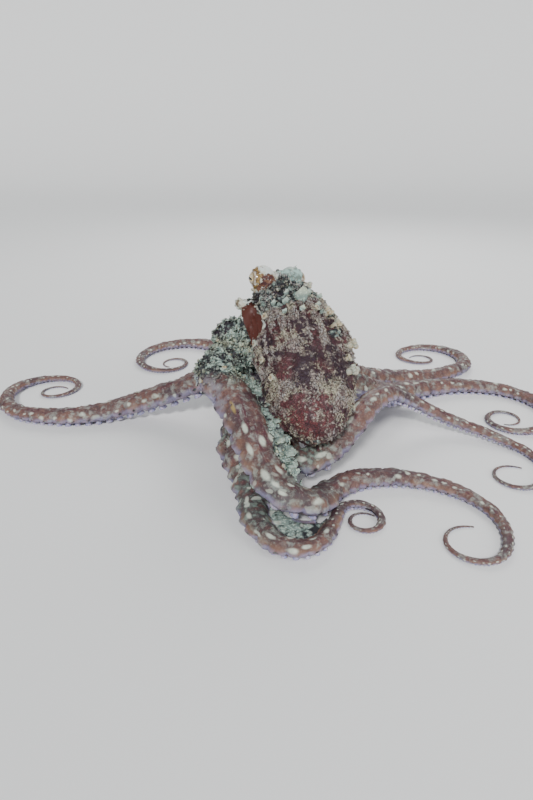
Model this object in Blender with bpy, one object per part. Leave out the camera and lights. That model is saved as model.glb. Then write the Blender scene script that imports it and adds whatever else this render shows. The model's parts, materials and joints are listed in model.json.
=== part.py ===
"""A day octopus at life size, sitting on its spread arms with its head raised, as one still model.

Metres, +Z up. The animal faces away from -Y and a little to -X, so its mantle hangs towards -Y.
Every arm is a tube swept along a path made of strokes, parted into lengths by thin flat cuts.
"""

import math

import bmesh
import bpy
import numpy as np
from mathutils import Matrix, Vector

MM = 0.001
GAP = 0.35 * MM                      # between nodes that touch
FACING = math.radians(107)           # the way the animal faces, from +X, seen from above
AHEAD = Vector((math.cos(FACING), math.sin(FACING), 0))
TO_LEFT = Vector((-AHEAD.y, AHEAD.x, 0))
UP = Vector((0, 0, 1))

# Arms, as wide as they are at the crown and narrowing to the tip.
ARM_HALF_WIDTH = 17 * MM
TIP_HALF_WIDTH = 0.9 * MM
TAPER = 1.15
STUB_START = 8 * MM                  # where an arm begins inside the crown
PATH_STEP = 1 * MM
BEND_BLEND = 14                      # path steps over which a turn eases in
LIFT_BLEND = 34                      # path steps over which a rise eases in
RING_LENGTH = 24 * MM
RING_TURN = 31                       # degrees of bend that one stretch of tube may take
FLOOR_SNAP = 0.15 * MM               # what ends this close to the floor lies flat on it

# An arm's section as shares of its half width: a round back, a web ridge each side, a flat sole.
SECTION = [(1.0, 0.0), (0.76, 0.58), (0.0, 0.84), (-0.76, 0.58), (-1.0, 0.0), (-0.7, -0.42), (0.0, -0.48),
           (0.7, -0.42)]
SUCKER_SIDE = 0.42                   # each row's distance from the middle of the sole
SUCKER_RADIUS = 0.33
SUCKER_DEPTH = 0.24
SUCKER_SIDES = 5
SUCKER_PITCH = 1.9                   # spacing along a row, in half widths, and a constant
SUCKER_PITCH_MORE = 19 * MM
SUCKER_LEAST_RADIUS = 0.75 * MM
CUP_LEAST_RADIUS = 3.4 * MM          # smaller suckers have no hollow of their own

# Each arm: its bearing and girth, the length in mm of its stub on the crown, how far in mm that the stub's
# end is lifted off the floor, and its strokes. A stroke is a length in mm, a turn in degrees, the lift in mm
# and the roll in degrees that it ends with. Each stroke is one node, and the last two share one.
ARMS = {
    "left_1": (118, 0.88, 50, 36, [(58, -14, 8, 0), (64, -10, 0, 0), (70, 66, 0, 0), (70, 80, 0, 0),
                                   (60, 90, 0, 0), (56, 140, 0, 0), (50, 230, 0, 0)]),
    "left_2": (157, 0.92, 50, 38, [(56, 22, 12, 0), (60, 20, 0, 0), (70, -36, 0, 0), (72, -70, 0, 0),
                                   (66, -100, 0, 0), (60, -160, 0, 0), (54, -240, 0, 0)]),
    "left_3": (196, 1.1, 38, 62, [(42, 110, 52, 0), (48, -20, 38, 0), (40, 12, 20, 0), (42, 134, 2, 0),
                                  (60, -62, 0, 0), (70, -56, 0, 0), (64, -80, 0, 0), (80, -250, 0, 0)]),
    "left_4": (225, 0.92, 44, 16, [(34, 66, 0, 0), (64, -18, 0, 0), (38, 44, 0, 0), (35, 106, 0, 16),
                                   (32, 10, 0, 30), (50, -200, 0, 0), (50, -280, 0, 0)]),
    "right_4": (264, 0.85, 44, 24, [(24, 8, 12, 0), (36, 120, 10, 0), (46, 20, 38, 0), (44, 2, 40, 0),
                                    (58, -70, 8, 0), (66, -30, 0, 0), (64, -100, 0, 0), (70, -250, 0, 0)]),
    "right_3": (9, 0.92, 50, 34, [(52, 44, 8, 0), (60, -24, 0, 0), (66, -40, 0, 0), (70, -76, 0, 0),
                                  (62, -96, 0, 0), (56, -150, 0, 0), (50, -230, 0, 0)]),
    "right_2": (40, 0.9, 50, 36, [(58, 2, 10, 0), (62, -24, 0, 0), (66, 24, 0, 0), (66, 84, 0, 0),
                                  (60, 96, 0, 0), (56, 150, 0, 0), (50, 230, 0, 0)]),
    "right_1": (80, 0.88, 50, 38, [(60, 18, 10, 0), (58, 8, 0, 0), (62, -64, 0, 0), (62, -90, 0, 0),
                                   (60, -110, 0, 0), (54, -160, 0, 0), (48, -230, 0, 0)]),
}

# The web between neighbouring arms: how far out it reaches at the arms, in mm.
WEBS = [("left_1", "left_2", 92), ("left_2", "left_3", 74), ("left_3", "right_4", 84),
        ("right_4", "right_3", 70), ("right_3", "right_2", 92), ("right_2", "right_1", 92),
        ("right_1", "left_1", 92)]
WEB_START = 16 * MM
WEB_DIP = 0.34                       # how far the free edge draws in between two arms
WEB_HALF_THICKNESS = 1.4 * MM
WEB_CELLS = 4
WEB_CLEARED = 70 * MM                # the length of arm that the web is cut clear of
WEB_INSET = 0.06                     # how far a web's side edge lies in from the arm's middle line

CROWN_CENTRE = Vector((0, 2 * MM, 58 * MM))
CROWN_RADII = Vector((35 * MM, 34 * MM, 33 * MM))
CROWN_TOP = 84 * MM

# The head: half widths across and along the animal, at heights from the crown up.
HEAD_FOOT = Vector((-1 * MM, 4 * MM, CROWN_TOP - 1 * MM))
HEAD_TOP = Vector((-7 * MM, 20 * MM, 137 * MM))
HEAD_PROFILE = [(0.0, 29, 26), (0.18, 27, 25), (0.38, 24, 21), (0.56, 21.5, 19), (0.74, 20, 17), (0.88, 15, 14),
                (0.97, 8, 8)]
EYES_MIDDLE = Vector((-7 * MM, 19 * MM, 130.5 * MM))
EYE_AXIS = (TO_LEFT + UP * 0.1).normalized()
EYE_SPREAD = 12.3 * MM
BULGE_RADIUS = 10.7 * MM
EYE_RADIUS = 7 * MM
EYE_OUT = 4.4 * MM                   # the eyeball's centre, outward from its bulge's centre
LID_RADIUS = 5.8 * MM
LID_THICKNESS = 1.3 * MM

# The raised fold of skin at the animal's left, where the crown meets the head.
SHOULDER_CENTRE = Vector((-40 * MM, 4 * MM, 86 * MM))
SHOULDER_RADII = Vector((20 * MM, 16 * MM, 16 * MM))

# The web that lies on the floor inside the bend of the left_4 arm. Its outline: beside which arm, how many mm
# along it and how many of the arm's half widths to its right.
FOLD_OUTLINE = [("left_4", s, -1.09) for s in (92, 108, 124, 140, 154, 166, 176, 186)]
FOLD_OUTLINE += [("left_4", s, -1.3) for s in (198, 210, 222)]
FOLD_OUTLINE += [("left_3", 206, 1.09), ("left_3", 198, 1.09), ("left_3", 190, 0.4), ("left_3", 180, 0.0),
                 ("left_3", 168, -0.5), ("left_3", 154, -0.8), ("left_3", 140, -0.8), ("left_3", 126, -0.8)]
FOLD_EDGE = 5 * MM
FOLD_HEIGHT = 7.5 * MM

# The mantle, a sac from the neck to its hanging end.
MANTLE_FRONT = Vector((-4 * MM, 6 * MM, 113 * MM))
MANTLE_MIDDLE = Vector((14 * MM, -44 * MM, 80 * MM))
MANTLE_END = Vector((17 * MM, -96 * MM, 42 * MM))
MANTLE_HALF_WIDTH = 36 * MM
MANTLE_FLATNESS = 0.84               # half height over half width
MANTLE_WIDEST = 0.40
MANTLE_NECK = 0.66                   # half width at the neck over the widest
MANTLE_RINGS = 12
MANTLE_SIDES = 18

# The mantle's side opening and the funnel in it, on the animal's left.
OPENING_CENTRE = Vector((-31 * MM, -10 * MM, 103 * MM))
OPENING_RADII = Vector((10 * MM, 9 * MM, 15 * MM))
FUNNEL_PATH = [Vector((-24, -9, 112)) * MM, Vector((-30, -13, 106)) * MM, Vector((-32, -16, 97)) * MM,
               Vector((-31, -17, 87)) * MM]
FUNNEL_RADII = [9.0 * MM, 8.2 * MM, 6.6 * MM, 4.6 * MM]
FUNNEL_BORE = 2.6 * MM

# Knobs on the skin. On the mantle: share of its length, degrees round it, radius in mm. On the head: which
# bulge, how far outward, up and back from its middle, radius in mm.
PAPILLA_SIDES = 5
MANTLE_KNOBS = [(0.19, 87, 3.2), (0.26, 79, 2.4), (0.30, 63, 3.6), (0.38, 54, 3.0), (0.477, 33, 3.8), (0.57, 42, 2.6),
                (0.65, 42, 3.8), (0.65, -24, 2.8), (0.80, 8, 2.4), (0.34, 168, 2.6), (0.50, 158, 2.4),
                (0.66, 146, 2.6), (0.36, 112, 2.0), (0.46, 84, 2.0), (0.56, 120, 2.2), (0.68, 92, 2.0),
                (0.80, 118, 2.2), (0.86, 62, 2.0), (0.22, 140, 2.4)]
HEAD_KNOBS = [(-1, 0.85, -0.5, 0.25, 3.0), (1, 0.6, -0.85, 0.2, 2.0), (1, 0.1, -0.5, -0.9, 2.4),
              (-1, 0.2, -0.4, -0.9, 2.2)]
CORNER_KNOB = Vector((-23 * MM, -6.5 * MM, 119.5 * MM))
CORNER_WAY = Vector((-13, -1.5, -2.2)).normalized()


def smooth(values, width):
    """The values averaged over a window, with their ends held."""
    padded = np.concatenate([np.full(width, values[0]), values, np.full(width, values[-1])])
    box = np.ones(width) / width
    return np.convolve(padded, box, mode="same")[width:-width]


class ArmPath:
    """An arm's centreline and the frame of its section, from its strokes."""

    def __init__(self, bearing, girth, stub, start_lift, strokes):
        self.girth = girth
        self.stub_end = stub * MM
        self.stroke_ends = [self.stub_end]
        turns = [np.zeros(round(self.stub_end / PATH_STEP))]
        for length, turn, _, _ in strokes:
            steps = round(length * MM / PATH_STEP)
            turns.append(np.full(steps, math.radians(turn) / steps))
            self.stroke_ends.append(self.stroke_ends[-1] + length * MM)
        self.length = self.stroke_ends[-1]
        rate = smooth(np.concatenate(turns), BEND_BLEND)
        heading = math.radians(bearing) + np.cumsum(rate)
        self.along = np.arange(len(rate)) * PATH_STEP
        knots = [0.0] + self.stroke_ends
        lifts = [start_lift + 12.0, start_lift] + [s[2] for s in strokes]
        rolls = [0.0, 0.0] + [s[3] for s in strokes]
        lift = smooth(smooth(np.interp(self.along, knots, lifts), LIFT_BLEND), LIFT_BLEND) * MM
        lift[lift < FLOOR_SNAP] = 0.0
        self.roll = np.radians(smooth(np.interp(self.along, knots, rolls), LIFT_BLEND))
        width = self.half_width(self.along)
        rest = [self.rest_height(w, r) for w, r in zip(width, self.roll)]
        self.points = np.stack([np.cumsum(np.cos(heading)) * PATH_STEP, np.cumsum(np.sin(heading)) * PATH_STEP,
                                np.array(rest) + lift], axis=1)
        self.heading = heading
        self.stations = self.place_stations()

    def half_width(self, s):
        share = np.clip(1 - s / self.length, 0, 1)
        return ARM_HALF_WIDTH * self.girth * share ** TAPER + TIP_HALF_WIDTH * (1 - 0.4 * (1 - share))

    def rest_height(self, width, roll):
        """How high the centreline is when the section just touches the floor."""
        lowest = [x * math.sin(roll) - y * math.cos(roll) for x, y in SECTION]
        sole = -SECTION[6][1] * width + sucker_depth(width)
        rim = [side * (SUCKER_SIDE + SUCKER_RADIUS) * width * math.sin(roll) + sole * math.cos(roll)
               for side in (-1, 1)]
        return max(max(lowest) * width, max(rim))

    def frame(self, s):
        """Place, direction, side and back of the section at s metres from the crown's middle."""
        place = Vector([float(np.interp(s, self.along, self.points[:, i])) for i in range(3)])
        reach = 2 * PATH_STEP
        before, after = max(s - reach, 0), min(s + reach, self.along[-1])
        ends = [Vector([float(np.interp(t, self.along, self.points[:, i])) for i in range(3)])
                for t in (before, after)]
        direction = (ends[1] - ends[0]).normalized()
        roll = float(np.interp(s, self.along, self.roll))
        side = direction.cross(UP).normalized()
        back = side.cross(direction)
        turn = Matrix.Rotation(roll, 3, direction)
        return place, direction, turn @ side, turn @ back

    def ring(self, s, swell=0.0):
        """The section's corners; a swollen one has room for the suckers under its sole."""
        place, _, side, back = self.frame(s)
        width = float(self.half_width(s))
        grown = 1 + swell / (0.42 * width)
        corners = []
        for x, y in SECTION:
            room = 1.5 * sucker_depth(width) if swell and y < -0.3 else 0.0
            corners.append(place + side * (x * (width * grown + 0.5 * room)) + back * (y * width * grown - room))
        return corners

    def place_stations(self):
        """Where the tube has a ring: at each stroke's end, and closer together where the arm bends."""
        stations = [STUB_START]
        for end in self.stroke_ends:
            while end - stations[-1] > 1.5 * MM:
                here = stations[-1]
                step = min(RING_LENGTH, 7 * MM + 1.3 * float(self.half_width(here)))
                bend = abs(np.interp(here + step, self.along, self.heading)
                           - np.interp(here, self.along, self.heading))
                if math.degrees(bend) > RING_TURN:
                    step *= RING_TURN / math.degrees(bend)
                left = end - here
                stations.append(here + left / math.ceil(left / max(step, 3 * MM)))
            stations[-1] = end
        return stations

    def rings(self, start, end, swell=0.0):
        between = [s for s in self.stations if start + 1.5 * MM < s < end - 1.5 * MM]
        return [self.ring(s, swell) for s in [start] + between + [end]]


def sucker_depth(width):
    return SUCKER_DEPTH * width + 0.3 * MM


def loft(rings):
    """A closed skin of triangles through rings of equal count, with a flat cap at each end."""
    bm = bmesh.new()
    loops = [[bm.verts.new(p) for p in ring] for ring in rings]
    count = len(loops[0])
    for a, b in zip(loops, loops[1:]):
        for i in range(count):
            j = (i + 1) % count
            bm.faces.new((a[i], a[j], b[j]))
            bm.faces.new((a[i], b[j], b[i]))
    bm.faces.new(loops[0][::-1])
    bm.faces.new(loops[-1])
    bmesh.ops.recalc_face_normals(bm, faces=bm.faces)
    return bm


def add_object(name, bm, material=None):
    mesh = bpy.data.meshes.new(name)
    bm.to_mesh(mesh)
    bm.free()
    if material:
        mesh.materials.append(material)
    made = bpy.data.objects.new(name, mesh)
    bpy.context.scene.collection.objects.link(made)
    return made


def combine(base, others, operation, solver="EXACT"):
    """Joins or cuts base with every other object at once, and removes those."""
    group = bpy.data.collections.new("pieces")
    bpy.context.scene.collection.children.link(group)
    for other in others:
        bpy.context.scene.collection.objects.unlink(other)
        group.objects.link(other)
    cut = base.modifiers.new(operation.lower(), "BOOLEAN")
    cut.operation = operation
    cut.operand_type = "COLLECTION"
    cut.collection = group
    cut.solver = solver
    bpy.context.view_layer.update()
    evaluated = base.evaluated_get(bpy.context.evaluated_depsgraph_get())
    mesh = bpy.data.meshes.new_from_object(evaluated)
    base.modifiers.clear()
    base.data = mesh
    for other in others:
        bpy.data.objects.remove(other)
    bpy.data.collections.remove(group)
    return base


def keep_largest(made):
    """Drops every loose scrap and sealed hollow, and lays flat what ends just off the floor."""
    bm = bmesh.new()
    bm.from_mesh(made.data)
    bmesh.ops.remove_doubles(bm, verts=bm.verts, dist=0.01 * MM)
    left = set(bm.faces)
    shells = []
    while left:
        stack = [left.pop()]
        shell = set(stack)
        while stack:
            for edge in stack.pop().edges:
                for face in edge.link_faces:
                    if face in left:
                        left.discard(face)
                        shell.add(face)
                        stack.append(face)
        shells.append(shell)
    largest = max(shells, key=len)
    bmesh.ops.delete(bm, geom=[f for f in bm.faces if f not in largest], context="FACES")
    for vert in bm.verts:
        if vert.co.z < FLOOR_SNAP:
            vert.co.z = 0.0
    bm.to_mesh(made.data)
    bm.free()


def ball(centre, radii, segments=16, rings=10, turn=None):
    bm = bmesh.new()
    bmesh.ops.create_uvsphere(bm, u_segments=segments, v_segments=rings, radius=1.0)
    place = Matrix.Translation(centre) @ (turn or Matrix.Identity(4)) @ Matrix.Diagonal((*radii, 1.0))
    bmesh.ops.transform(bm, matrix=place, verts=bm.verts)
    return bm


def across(direction):
    """Two directions square to this one and to each other."""
    side = direction.cross(UP)
    if side.length < 0.1:
        side = direction.cross(Vector((1, 0, 0)))
    side.normalize()
    return side, side.cross(direction).normalized()


def turned(place, direction, profile, sides):
    """A closed turned solid: profile holds (distance along direction, radius) from root to end."""
    side, other = across(direction)
    rings = []
    for height, radius in profile:
        rings.append([place + direction * height
                      + side * (radius * math.cos(2 * math.pi * i / sides))
                      + other * (radius * math.sin(2 * math.pi * i / sides)) for i in range(sides)])
    return loft(rings)


def sucker(path, s, row):
    """One sucker on an arm's sole, rim down, with a hollow cup where it is large enough."""
    place, _, side, back = path.frame(s)
    width = float(path.half_width(s))
    depth = sucker_depth(width)
    radius = max(SUCKER_RADIUS * width, SUCKER_LEAST_RADIUS)
    sole = place + side * (row * SUCKER_SIDE * width) + back * (SECTION[6][1] * width)
    profile = [(-0.2 * width, radius * 0.7), (depth, radius)]
    if radius > CUP_LEAST_RADIUS:
        profile += [(depth, radius * 0.62), (depth * 0.35, radius * 0.3)]
    return add_object("sucker", turned(sole, -back, profile, SUCKER_SIDES))


def sucker_stations(path):
    """Every sucker's place along an arm and its row, the two rows staggered."""
    found = []
    s = path.stub_end + 10 * MM
    row = 1
    while s < path.length - 6 * MM:
        found.append((s, row))
        pitch = SUCKER_PITCH * float(path.half_width(s)) + SUCKER_PITCH_MORE
        s += pitch / 2
        row = -row
    return found


def arm_length(name, path, start, end, material, with_suckers):
    made = add_object(name, loft(path.rings(start, end)), material)
    if with_suckers:
        room = [(s, row) for s, row in sucker_stations(path)
                if start + 1.2 * SUCKER_RADIUS * path.half_width(s) < s
                < end - 1.2 * SUCKER_RADIUS * path.half_width(s)]
        pieces = [sucker(path, s, row) for s, row in room]
        if pieces:
            combine(made, pieces, "UNION")
    keep_largest(made)
    return made


def web_sheet(near, far, reach):
    """The thin web between two arms, from inside the crown to a free edge that draws in."""
    shares = [i / WEB_CELLS for i in range(WEB_CELLS + 1)]
    layers = []
    for lift in (WEB_HALF_THICKNESS, -WEB_HALF_THICKNESS):
        grid = []
        for out in shares:
            row = []
            for share in shares:
                edge = reach * (1 - WEB_DIP * 4 * share * (1 - share))
                s = WEB_START + (edge - WEB_START) * out
                point = near.frame(s)[0].lerp(far.frame(s)[0], WEB_INSET + (1 - 2 * WEB_INSET) * share)
                row.append(point + UP * lift)
            grid.append(row)
        layers.append(grid)
    bm = bmesh.new()
    tops, bottoms = [[[bm.verts.new(p) for p in row] for row in grid] for grid in layers]
    for i in range(WEB_CELLS):
        for j in range(WEB_CELLS):
            for grid, flip in ((tops, 1), (bottoms, -1)):
                corners = (grid[i][j], grid[i + 1][j], grid[i + 1][j + 1], grid[i][j + 1])
                bm.faces.new(corners[:3][::flip])
                bm.faces.new((corners[0], corners[2], corners[3])[::flip])
    last = WEB_CELLS
    border = ([(0, j) for j in range(last)] + [(i, last) for i in range(last)]
              + [(last, j) for j in range(last, 0, -1)] + [(i, 0) for i in range(last, 0, -1)])
    for (i, j), (k, m) in zip(border, border[1:] + border[:1]):
        bm.faces.new((tops[i][j], tops[k][m], bottoms[k][m], bottoms[i][j]))
    bmesh.ops.recalc_face_normals(bm, faces=bm.faces)
    return add_object("web", bm)


def crown(paths, material):
    """The ring of flesh that the arms grow from, with their stubs and the web between them."""
    made = add_object("arm_crown", ball(CROWN_CENTRE, CROWN_RADII), material)
    pieces = [add_object("stub", loft(path.rings(STUB_START, path.stub_end + 5 * MM))) for path in paths.values()]
    pieces.append(add_object("shoulder", ball(SHOULDER_CENTRE, SHOULDER_RADII, 12, 8)))
    combine(made, pieces, "UNION")
    combine(made, [web_sheet(paths[a], paths[b], reach * MM) for a, b, reach in WEBS], "UNION")
    cutters = [add_object("arm_cut", loft(path.rings(path.stub_end, path.stub_end + WEB_CLEARED, GAP)))
               for path in paths.values()]
    top = bmesh.new()
    bmesh.ops.create_cube(top, size=0.2)
    bmesh.ops.translate(top, verts=top.verts, vec=(0, 0, CROWN_TOP + 0.1))
    cutters.append(add_object("top_cut", top))
    cutters.append(add_object("mantle_cut", mantle_skin(GAP)))
    cutters.append(add_object("funnel_cut", funnel_skin(GAP)))
    combine(made, cutters, "DIFFERENCE")
    keep_largest(made)
    return made


def web_fold(paths, material):
    """A low domed web that fills the bend of one arm, out to where the next comes down beside it."""
    outline = []
    for name, s, out in FOLD_OUTLINE:
        place, direction, _, _ = paths[name].frame(s * MM)
        place = place + direction.cross(UP).normalized() * (out * float(paths[name].half_width(s * MM)))
        outline.append(Vector((place.x, place.y, 0)))
    middle = sum(outline, Vector()) / len(outline)
    rings = [[middle.lerp(corner, share) + UP * height for corner in outline]
             for share, height in ((1.0, 0.0), (1.0, FOLD_EDGE), (0.5, FOLD_HEIGHT))]
    return add_object("web_fold", loft(rings), material)


def mantle_axis(t):
    """The mantle's curved middle line, through its front, middle and end."""
    a, b, c = MANTLE_FRONT, MANTLE_MIDDLE * 2 - (MANTLE_FRONT + MANTLE_END) / 2, MANTLE_END
    return a * (1 - t) ** 2 + b * 2 * t * (1 - t) + c * t * t


def mantle_half_width(t):
    if t < MANTLE_WIDEST:
        off = (MANTLE_WIDEST - t) / MANTLE_WIDEST
        return MANTLE_HALF_WIDTH * (1 - (1 - MANTLE_NECK) * off ** 2)
    off = (t - MANTLE_WIDEST) / (1 - MANTLE_WIDEST)
    return MANTLE_HALF_WIDTH * math.sqrt(max(1 - off ** 2.3, 0))


def mantle_frame(t):
    step = 0.01
    direction = (mantle_axis(t + step) - mantle_axis(t - step)).normalized()
    side = direction.cross(UP).normalized()
    return mantle_axis(t), direction, side, side.cross(direction)


def mantle_point(t, angle, swell=0.0):
    """A point of the mantle's skin; angle 0 is the animal's right side and 90 its back."""
    place, _, side, back = mantle_frame(t)
    width = mantle_half_width(t) + swell
    return (place - side * (width * math.cos(angle))
            + back * ((width * MANTLE_FLATNESS + swell * (1 - MANTLE_FLATNESS)) * math.sin(angle)))


def mantle_skin(swell=0.0):
    """The sac as a closed skin, its rings closer together towards the blunt end."""
    rings = []
    for k in range(MANTLE_RINGS):
        t = math.sin(math.pi / 2 * k / (MANTLE_RINGS - 0.35))
        angles = [2 * math.pi * i / MANTLE_SIDES for i in range(MANTLE_SIDES)]
        rings.append([mantle_point(t, angle, swell) for angle in angles])
    if swell:
        _, front, _, _ = mantle_frame(0)
        rings[0] = [p - front * swell for p in rings[0]]
        _, rear, _, _ = mantle_frame(1)
        rings[-1] = [p + rear * swell for p in rings[-1]]
    return loft(rings)


def funnel_skin(swell=0.0):
    rings = []
    sides = 10
    for k, (place, radius) in enumerate(zip(FUNNEL_PATH, FUNNEL_RADII)):
        before = FUNNEL_PATH[max(k - 1, 0)]
        after = FUNNEL_PATH[min(k + 1, len(FUNNEL_PATH) - 1)]
        side, other = across((after - before).normalized())
        grown = radius + swell
        rings.append([place + side * (grown * math.cos(2 * math.pi * i / sides))
                      + other * (grown * math.sin(2 * math.pi * i / sides)) for i in range(sides)])
    if swell:
        rings[0] = [p + (FUNNEL_PATH[0] - FUNNEL_PATH[1]).normalized() * swell for p in rings[0]]
        rings[-1] = [p + (FUNNEL_PATH[-1] - FUNNEL_PATH[-2]).normalized() * swell for p in rings[-1]]
    return loft(rings)


def funnel(material):
    """The funnel, a tapered tube that points down, with its mouth open."""
    made = add_object("funnel", funnel_skin(), material)
    out = (FUNNEL_PATH[-1] - FUNNEL_PATH[-2]).normalized()
    bore = turned(FUNNEL_PATH[-1] - out * 9 * MM, out, [(0, FUNNEL_BORE * 0.7), (12 * MM, FUNNEL_BORE)], 8)
    combine(made, [add_object("bore", bore)], "DIFFERENCE")
    keep_largest(made)
    return made


def papilla(place, out, radius, height):
    """A skin papilla: a short neck and a rounded knob."""
    profile = [(-0.9 * radius, radius * 0.7), (height * 0.6, radius), (height, radius * 0.5)]
    return add_object("papilla", turned(place, out, profile, PAPILLA_SIDES))


def mantle(material, with_papillae):
    made = add_object("mantle", mantle_skin(), material)
    if with_papillae:
        pieces = []
        for t, degrees, size in MANTLE_KNOBS:
            skin = mantle_point(t, math.radians(degrees))
            out = (skin - mantle_axis(t)).normalized()
            pieces.append(papilla(skin, out, size * MM, size * 1.5 * MM))
        pieces.append(papilla(CORNER_KNOB, CORNER_WAY, 3.6 * MM, 14 * MM))
        combine(made, pieces, "UNION")
    combine(made, [add_object("pocket", ball(OPENING_CENTRE, OPENING_RADII, 12, 8)),
                   add_object("funnel_cut", funnel_skin(GAP))], "DIFFERENCE")
    keep_largest(made)
    return made


def eye_outward(sign):
    return (TO_LEFT * sign + UP * 0.12 - AHEAD * 0.05).normalized()


def eye_centre(sign):
    return EYES_MIDDLE + EYE_AXIS * (sign * EYE_SPREAD) + eye_outward(sign) * EYE_OUT


def head(paths, material, with_papillae):
    """The head from the crown to the two eye bulges, hollowed where the eyes and the mantle sit."""
    rings = []
    sides = 16
    for t, wide, deep in HEAD_PROFILE:
        place = HEAD_FOOT.lerp(HEAD_TOP, t)
        rings.append([place + TO_LEFT * (wide * MM * math.cos(2 * math.pi * i / sides))
                      + AHEAD * (deep * MM * math.sin(2 * math.pi * i / sides)) for i in range(sides)])
    made = add_object("head", loft(rings), material)
    bulges = []
    for sign in (1, -1):
        centre = EYES_MIDDLE + EYE_AXIS * (sign * EYE_SPREAD)
        bulges.append(add_object("bulge", ball(centre, Vector((1, 1, 1)) * BULGE_RADIUS, 12, 9)))
        lid = bmesh.new()
        out = eye_outward(sign)
        side, other = across(out)
        ring_at = eye_centre(sign) + out * math.sqrt(EYE_RADIUS ** 2 - LID_RADIUS ** 2) * 0.9
        for i in range(12):
            a = 2 * math.pi * i / 12
            spoke = side * math.cos(a) + other * math.sin(a)
            section = [ring_at + spoke * (LID_RADIUS + LID_THICKNESS * math.cos(b))
                       + out * (LID_THICKNESS * math.sin(b)) for b in (0, math.pi / 2, math.pi, -math.pi / 2)]
            section[3] -= out * 2 * MM
            for p in section:
                lid.verts.new(p)
        lid.verts.ensure_lookup_table()
        for i in range(12):
            for j in range(4):
                a, b = 4 * i, 4 * ((i + 1) % 12)
                k = (j + 1) % 4
                lid.faces.new([lid.verts[n] for n in (a + j, b + j, b + k, a + k)])
        bmesh.ops.recalc_face_normals(lid, faces=lid.faces)
        bulges.append(add_object("lid", lid))
    if with_papillae:
        for sign, out, rise, back, size in HEAD_KNOBS:
            way = (TO_LEFT * (sign * out) + UP * rise - AHEAD * back).normalized()
            at = EYES_MIDDLE + EYE_AXIS * (sign * EYE_SPREAD) + way * BULGE_RADIUS * 0.96
            bulges.append(papilla(at, way, size * MM, size * MM * 1.4))
    bulges.append(add_object("shoulder", ball(SHOULDER_CENTRE, SHOULDER_RADII, 12, 8)))
    combine(made, bulges, "UNION")
    cutters = [add_object("socket", ball(eye_centre(sign), Vector((1, 1, 1)) * (EYE_RADIUS + GAP), 12, 9,
                                         eye_turn(sign))) for sign in (1, -1)]
    below = bmesh.new()
    bmesh.ops.create_cube(below, size=0.2)
    bmesh.ops.translate(below, verts=below.verts, vec=(0, 0, CROWN_TOP + GAP - 0.1))
    cutters.append(add_object("below_cut", below))
    arm = paths["left_3"]
    cutters.append(add_object("arm_cut", loft(arm.rings(arm.stub_end, arm.stub_end + WEB_CLEARED, GAP))))
    cutters.append(add_object("mantle_cut", mantle_skin(GAP)))
    cutters.append(add_object("pocket", ball(OPENING_CENTRE, OPENING_RADII, 12, 8)))
    cutters.append(add_object("funnel_cut", funnel_skin(GAP)))
    combine(made, cutters, "DIFFERENCE")
    keep_largest(made)
    return made


def eye_turn(sign):
    """Turns a ball's pole to the way the eye looks."""
    return eye_outward(sign).to_track_quat("Z", "Y").to_matrix().to_4x4()


def eye(name, sign, material):
    bm = ball(eye_centre(sign), Vector((1, 1, 1)) * EYE_RADIUS, 12, 9, eye_turn(sign))
    return add_object(name, bm, material)


def finish(name, colour, roughness, metallic=0.0):
    made = bpy.data.materials.new(name)
    made.use_nodes = True
    shader = made.node_tree.nodes["Principled BSDF"]
    shader.inputs["Base Color"].default_value = (*colour, 1)
    shader.inputs["Roughness"].default_value = roughness
    shader.inputs["Metallic"].default_value = metallic
    return made


def build(with_suckers=True, with_papillae=True):
    for old in list(bpy.data.objects):
        bpy.data.objects.remove(old)
    mantle_finish = finish("mantle_skin", (0.20, 0.09, 0.09), 0.55)
    head_finish = finish("head_skin", (0.42, 0.36, 0.30), 0.55)
    arm_finish = finish("arm_skin", (0.23, 0.10, 0.08), 0.5)
    web_finish = finish("web_skin", (0.34, 0.36, 0.32), 0.6)
    funnel_finish = finish("funnel_skin", (0.24, 0.06, 0.03), 0.4)
    eye_finish = finish("eye", (0.55, 0.45, 0.25), 0.15)
    paths = {name: ArmPath(*spec) for name, spec in ARMS.items()}
    made = [crown(paths, web_finish), head(paths, head_finish, with_papillae), mantle(mantle_finish, with_papillae),
            funnel(funnel_finish), eye("eye_left", 1, eye_finish), eye("eye_right", -1, eye_finish)]
    made.append(web_fold(paths, web_finish))
    for name, path in paths.items():
        ends = path.stroke_ends[:-2] + path.stroke_ends[-1:]
        for k, (start, end) in enumerate(zip(ends, ends[1:])):
            made.append(arm_length(f"arm_{name}_{k + 1}", path, start + GAP, end, arm_finish, with_suckers))
    low = Vector([min(v.co[i] for o in made for v in o.data.vertices) for i in range(3)])
    high = Vector([max(v.co[i] for o in made for v in o.data.vertices) for i in range(3)])
    body = bpy.data.objects.new("octopus", None)
    bpy.context.scene.collection.objects.link(body)
    body.location = (-(low.x + high.x) / 2, -(low.y + high.y) / 2, 0)
    for piece in made:
        piece.parent = body
        sharp = math.radians(50)
        piece.data.shade_smooth()
        piece.data.set_sharp_from_angle(angle=sharp)


build()
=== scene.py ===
"""The finished look of the day octopus: one mottled skin over the whole body, papillae, suckers and eyes.

Shapes are worked out in the animal's own frame, in millimetres, and set into the row frame by where the
left eye stands there.
"""

import json
import math
import random

import bmesh
import bpy
import numpy as np
from mathutils import Matrix, Vector, kdtree, noise

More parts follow.
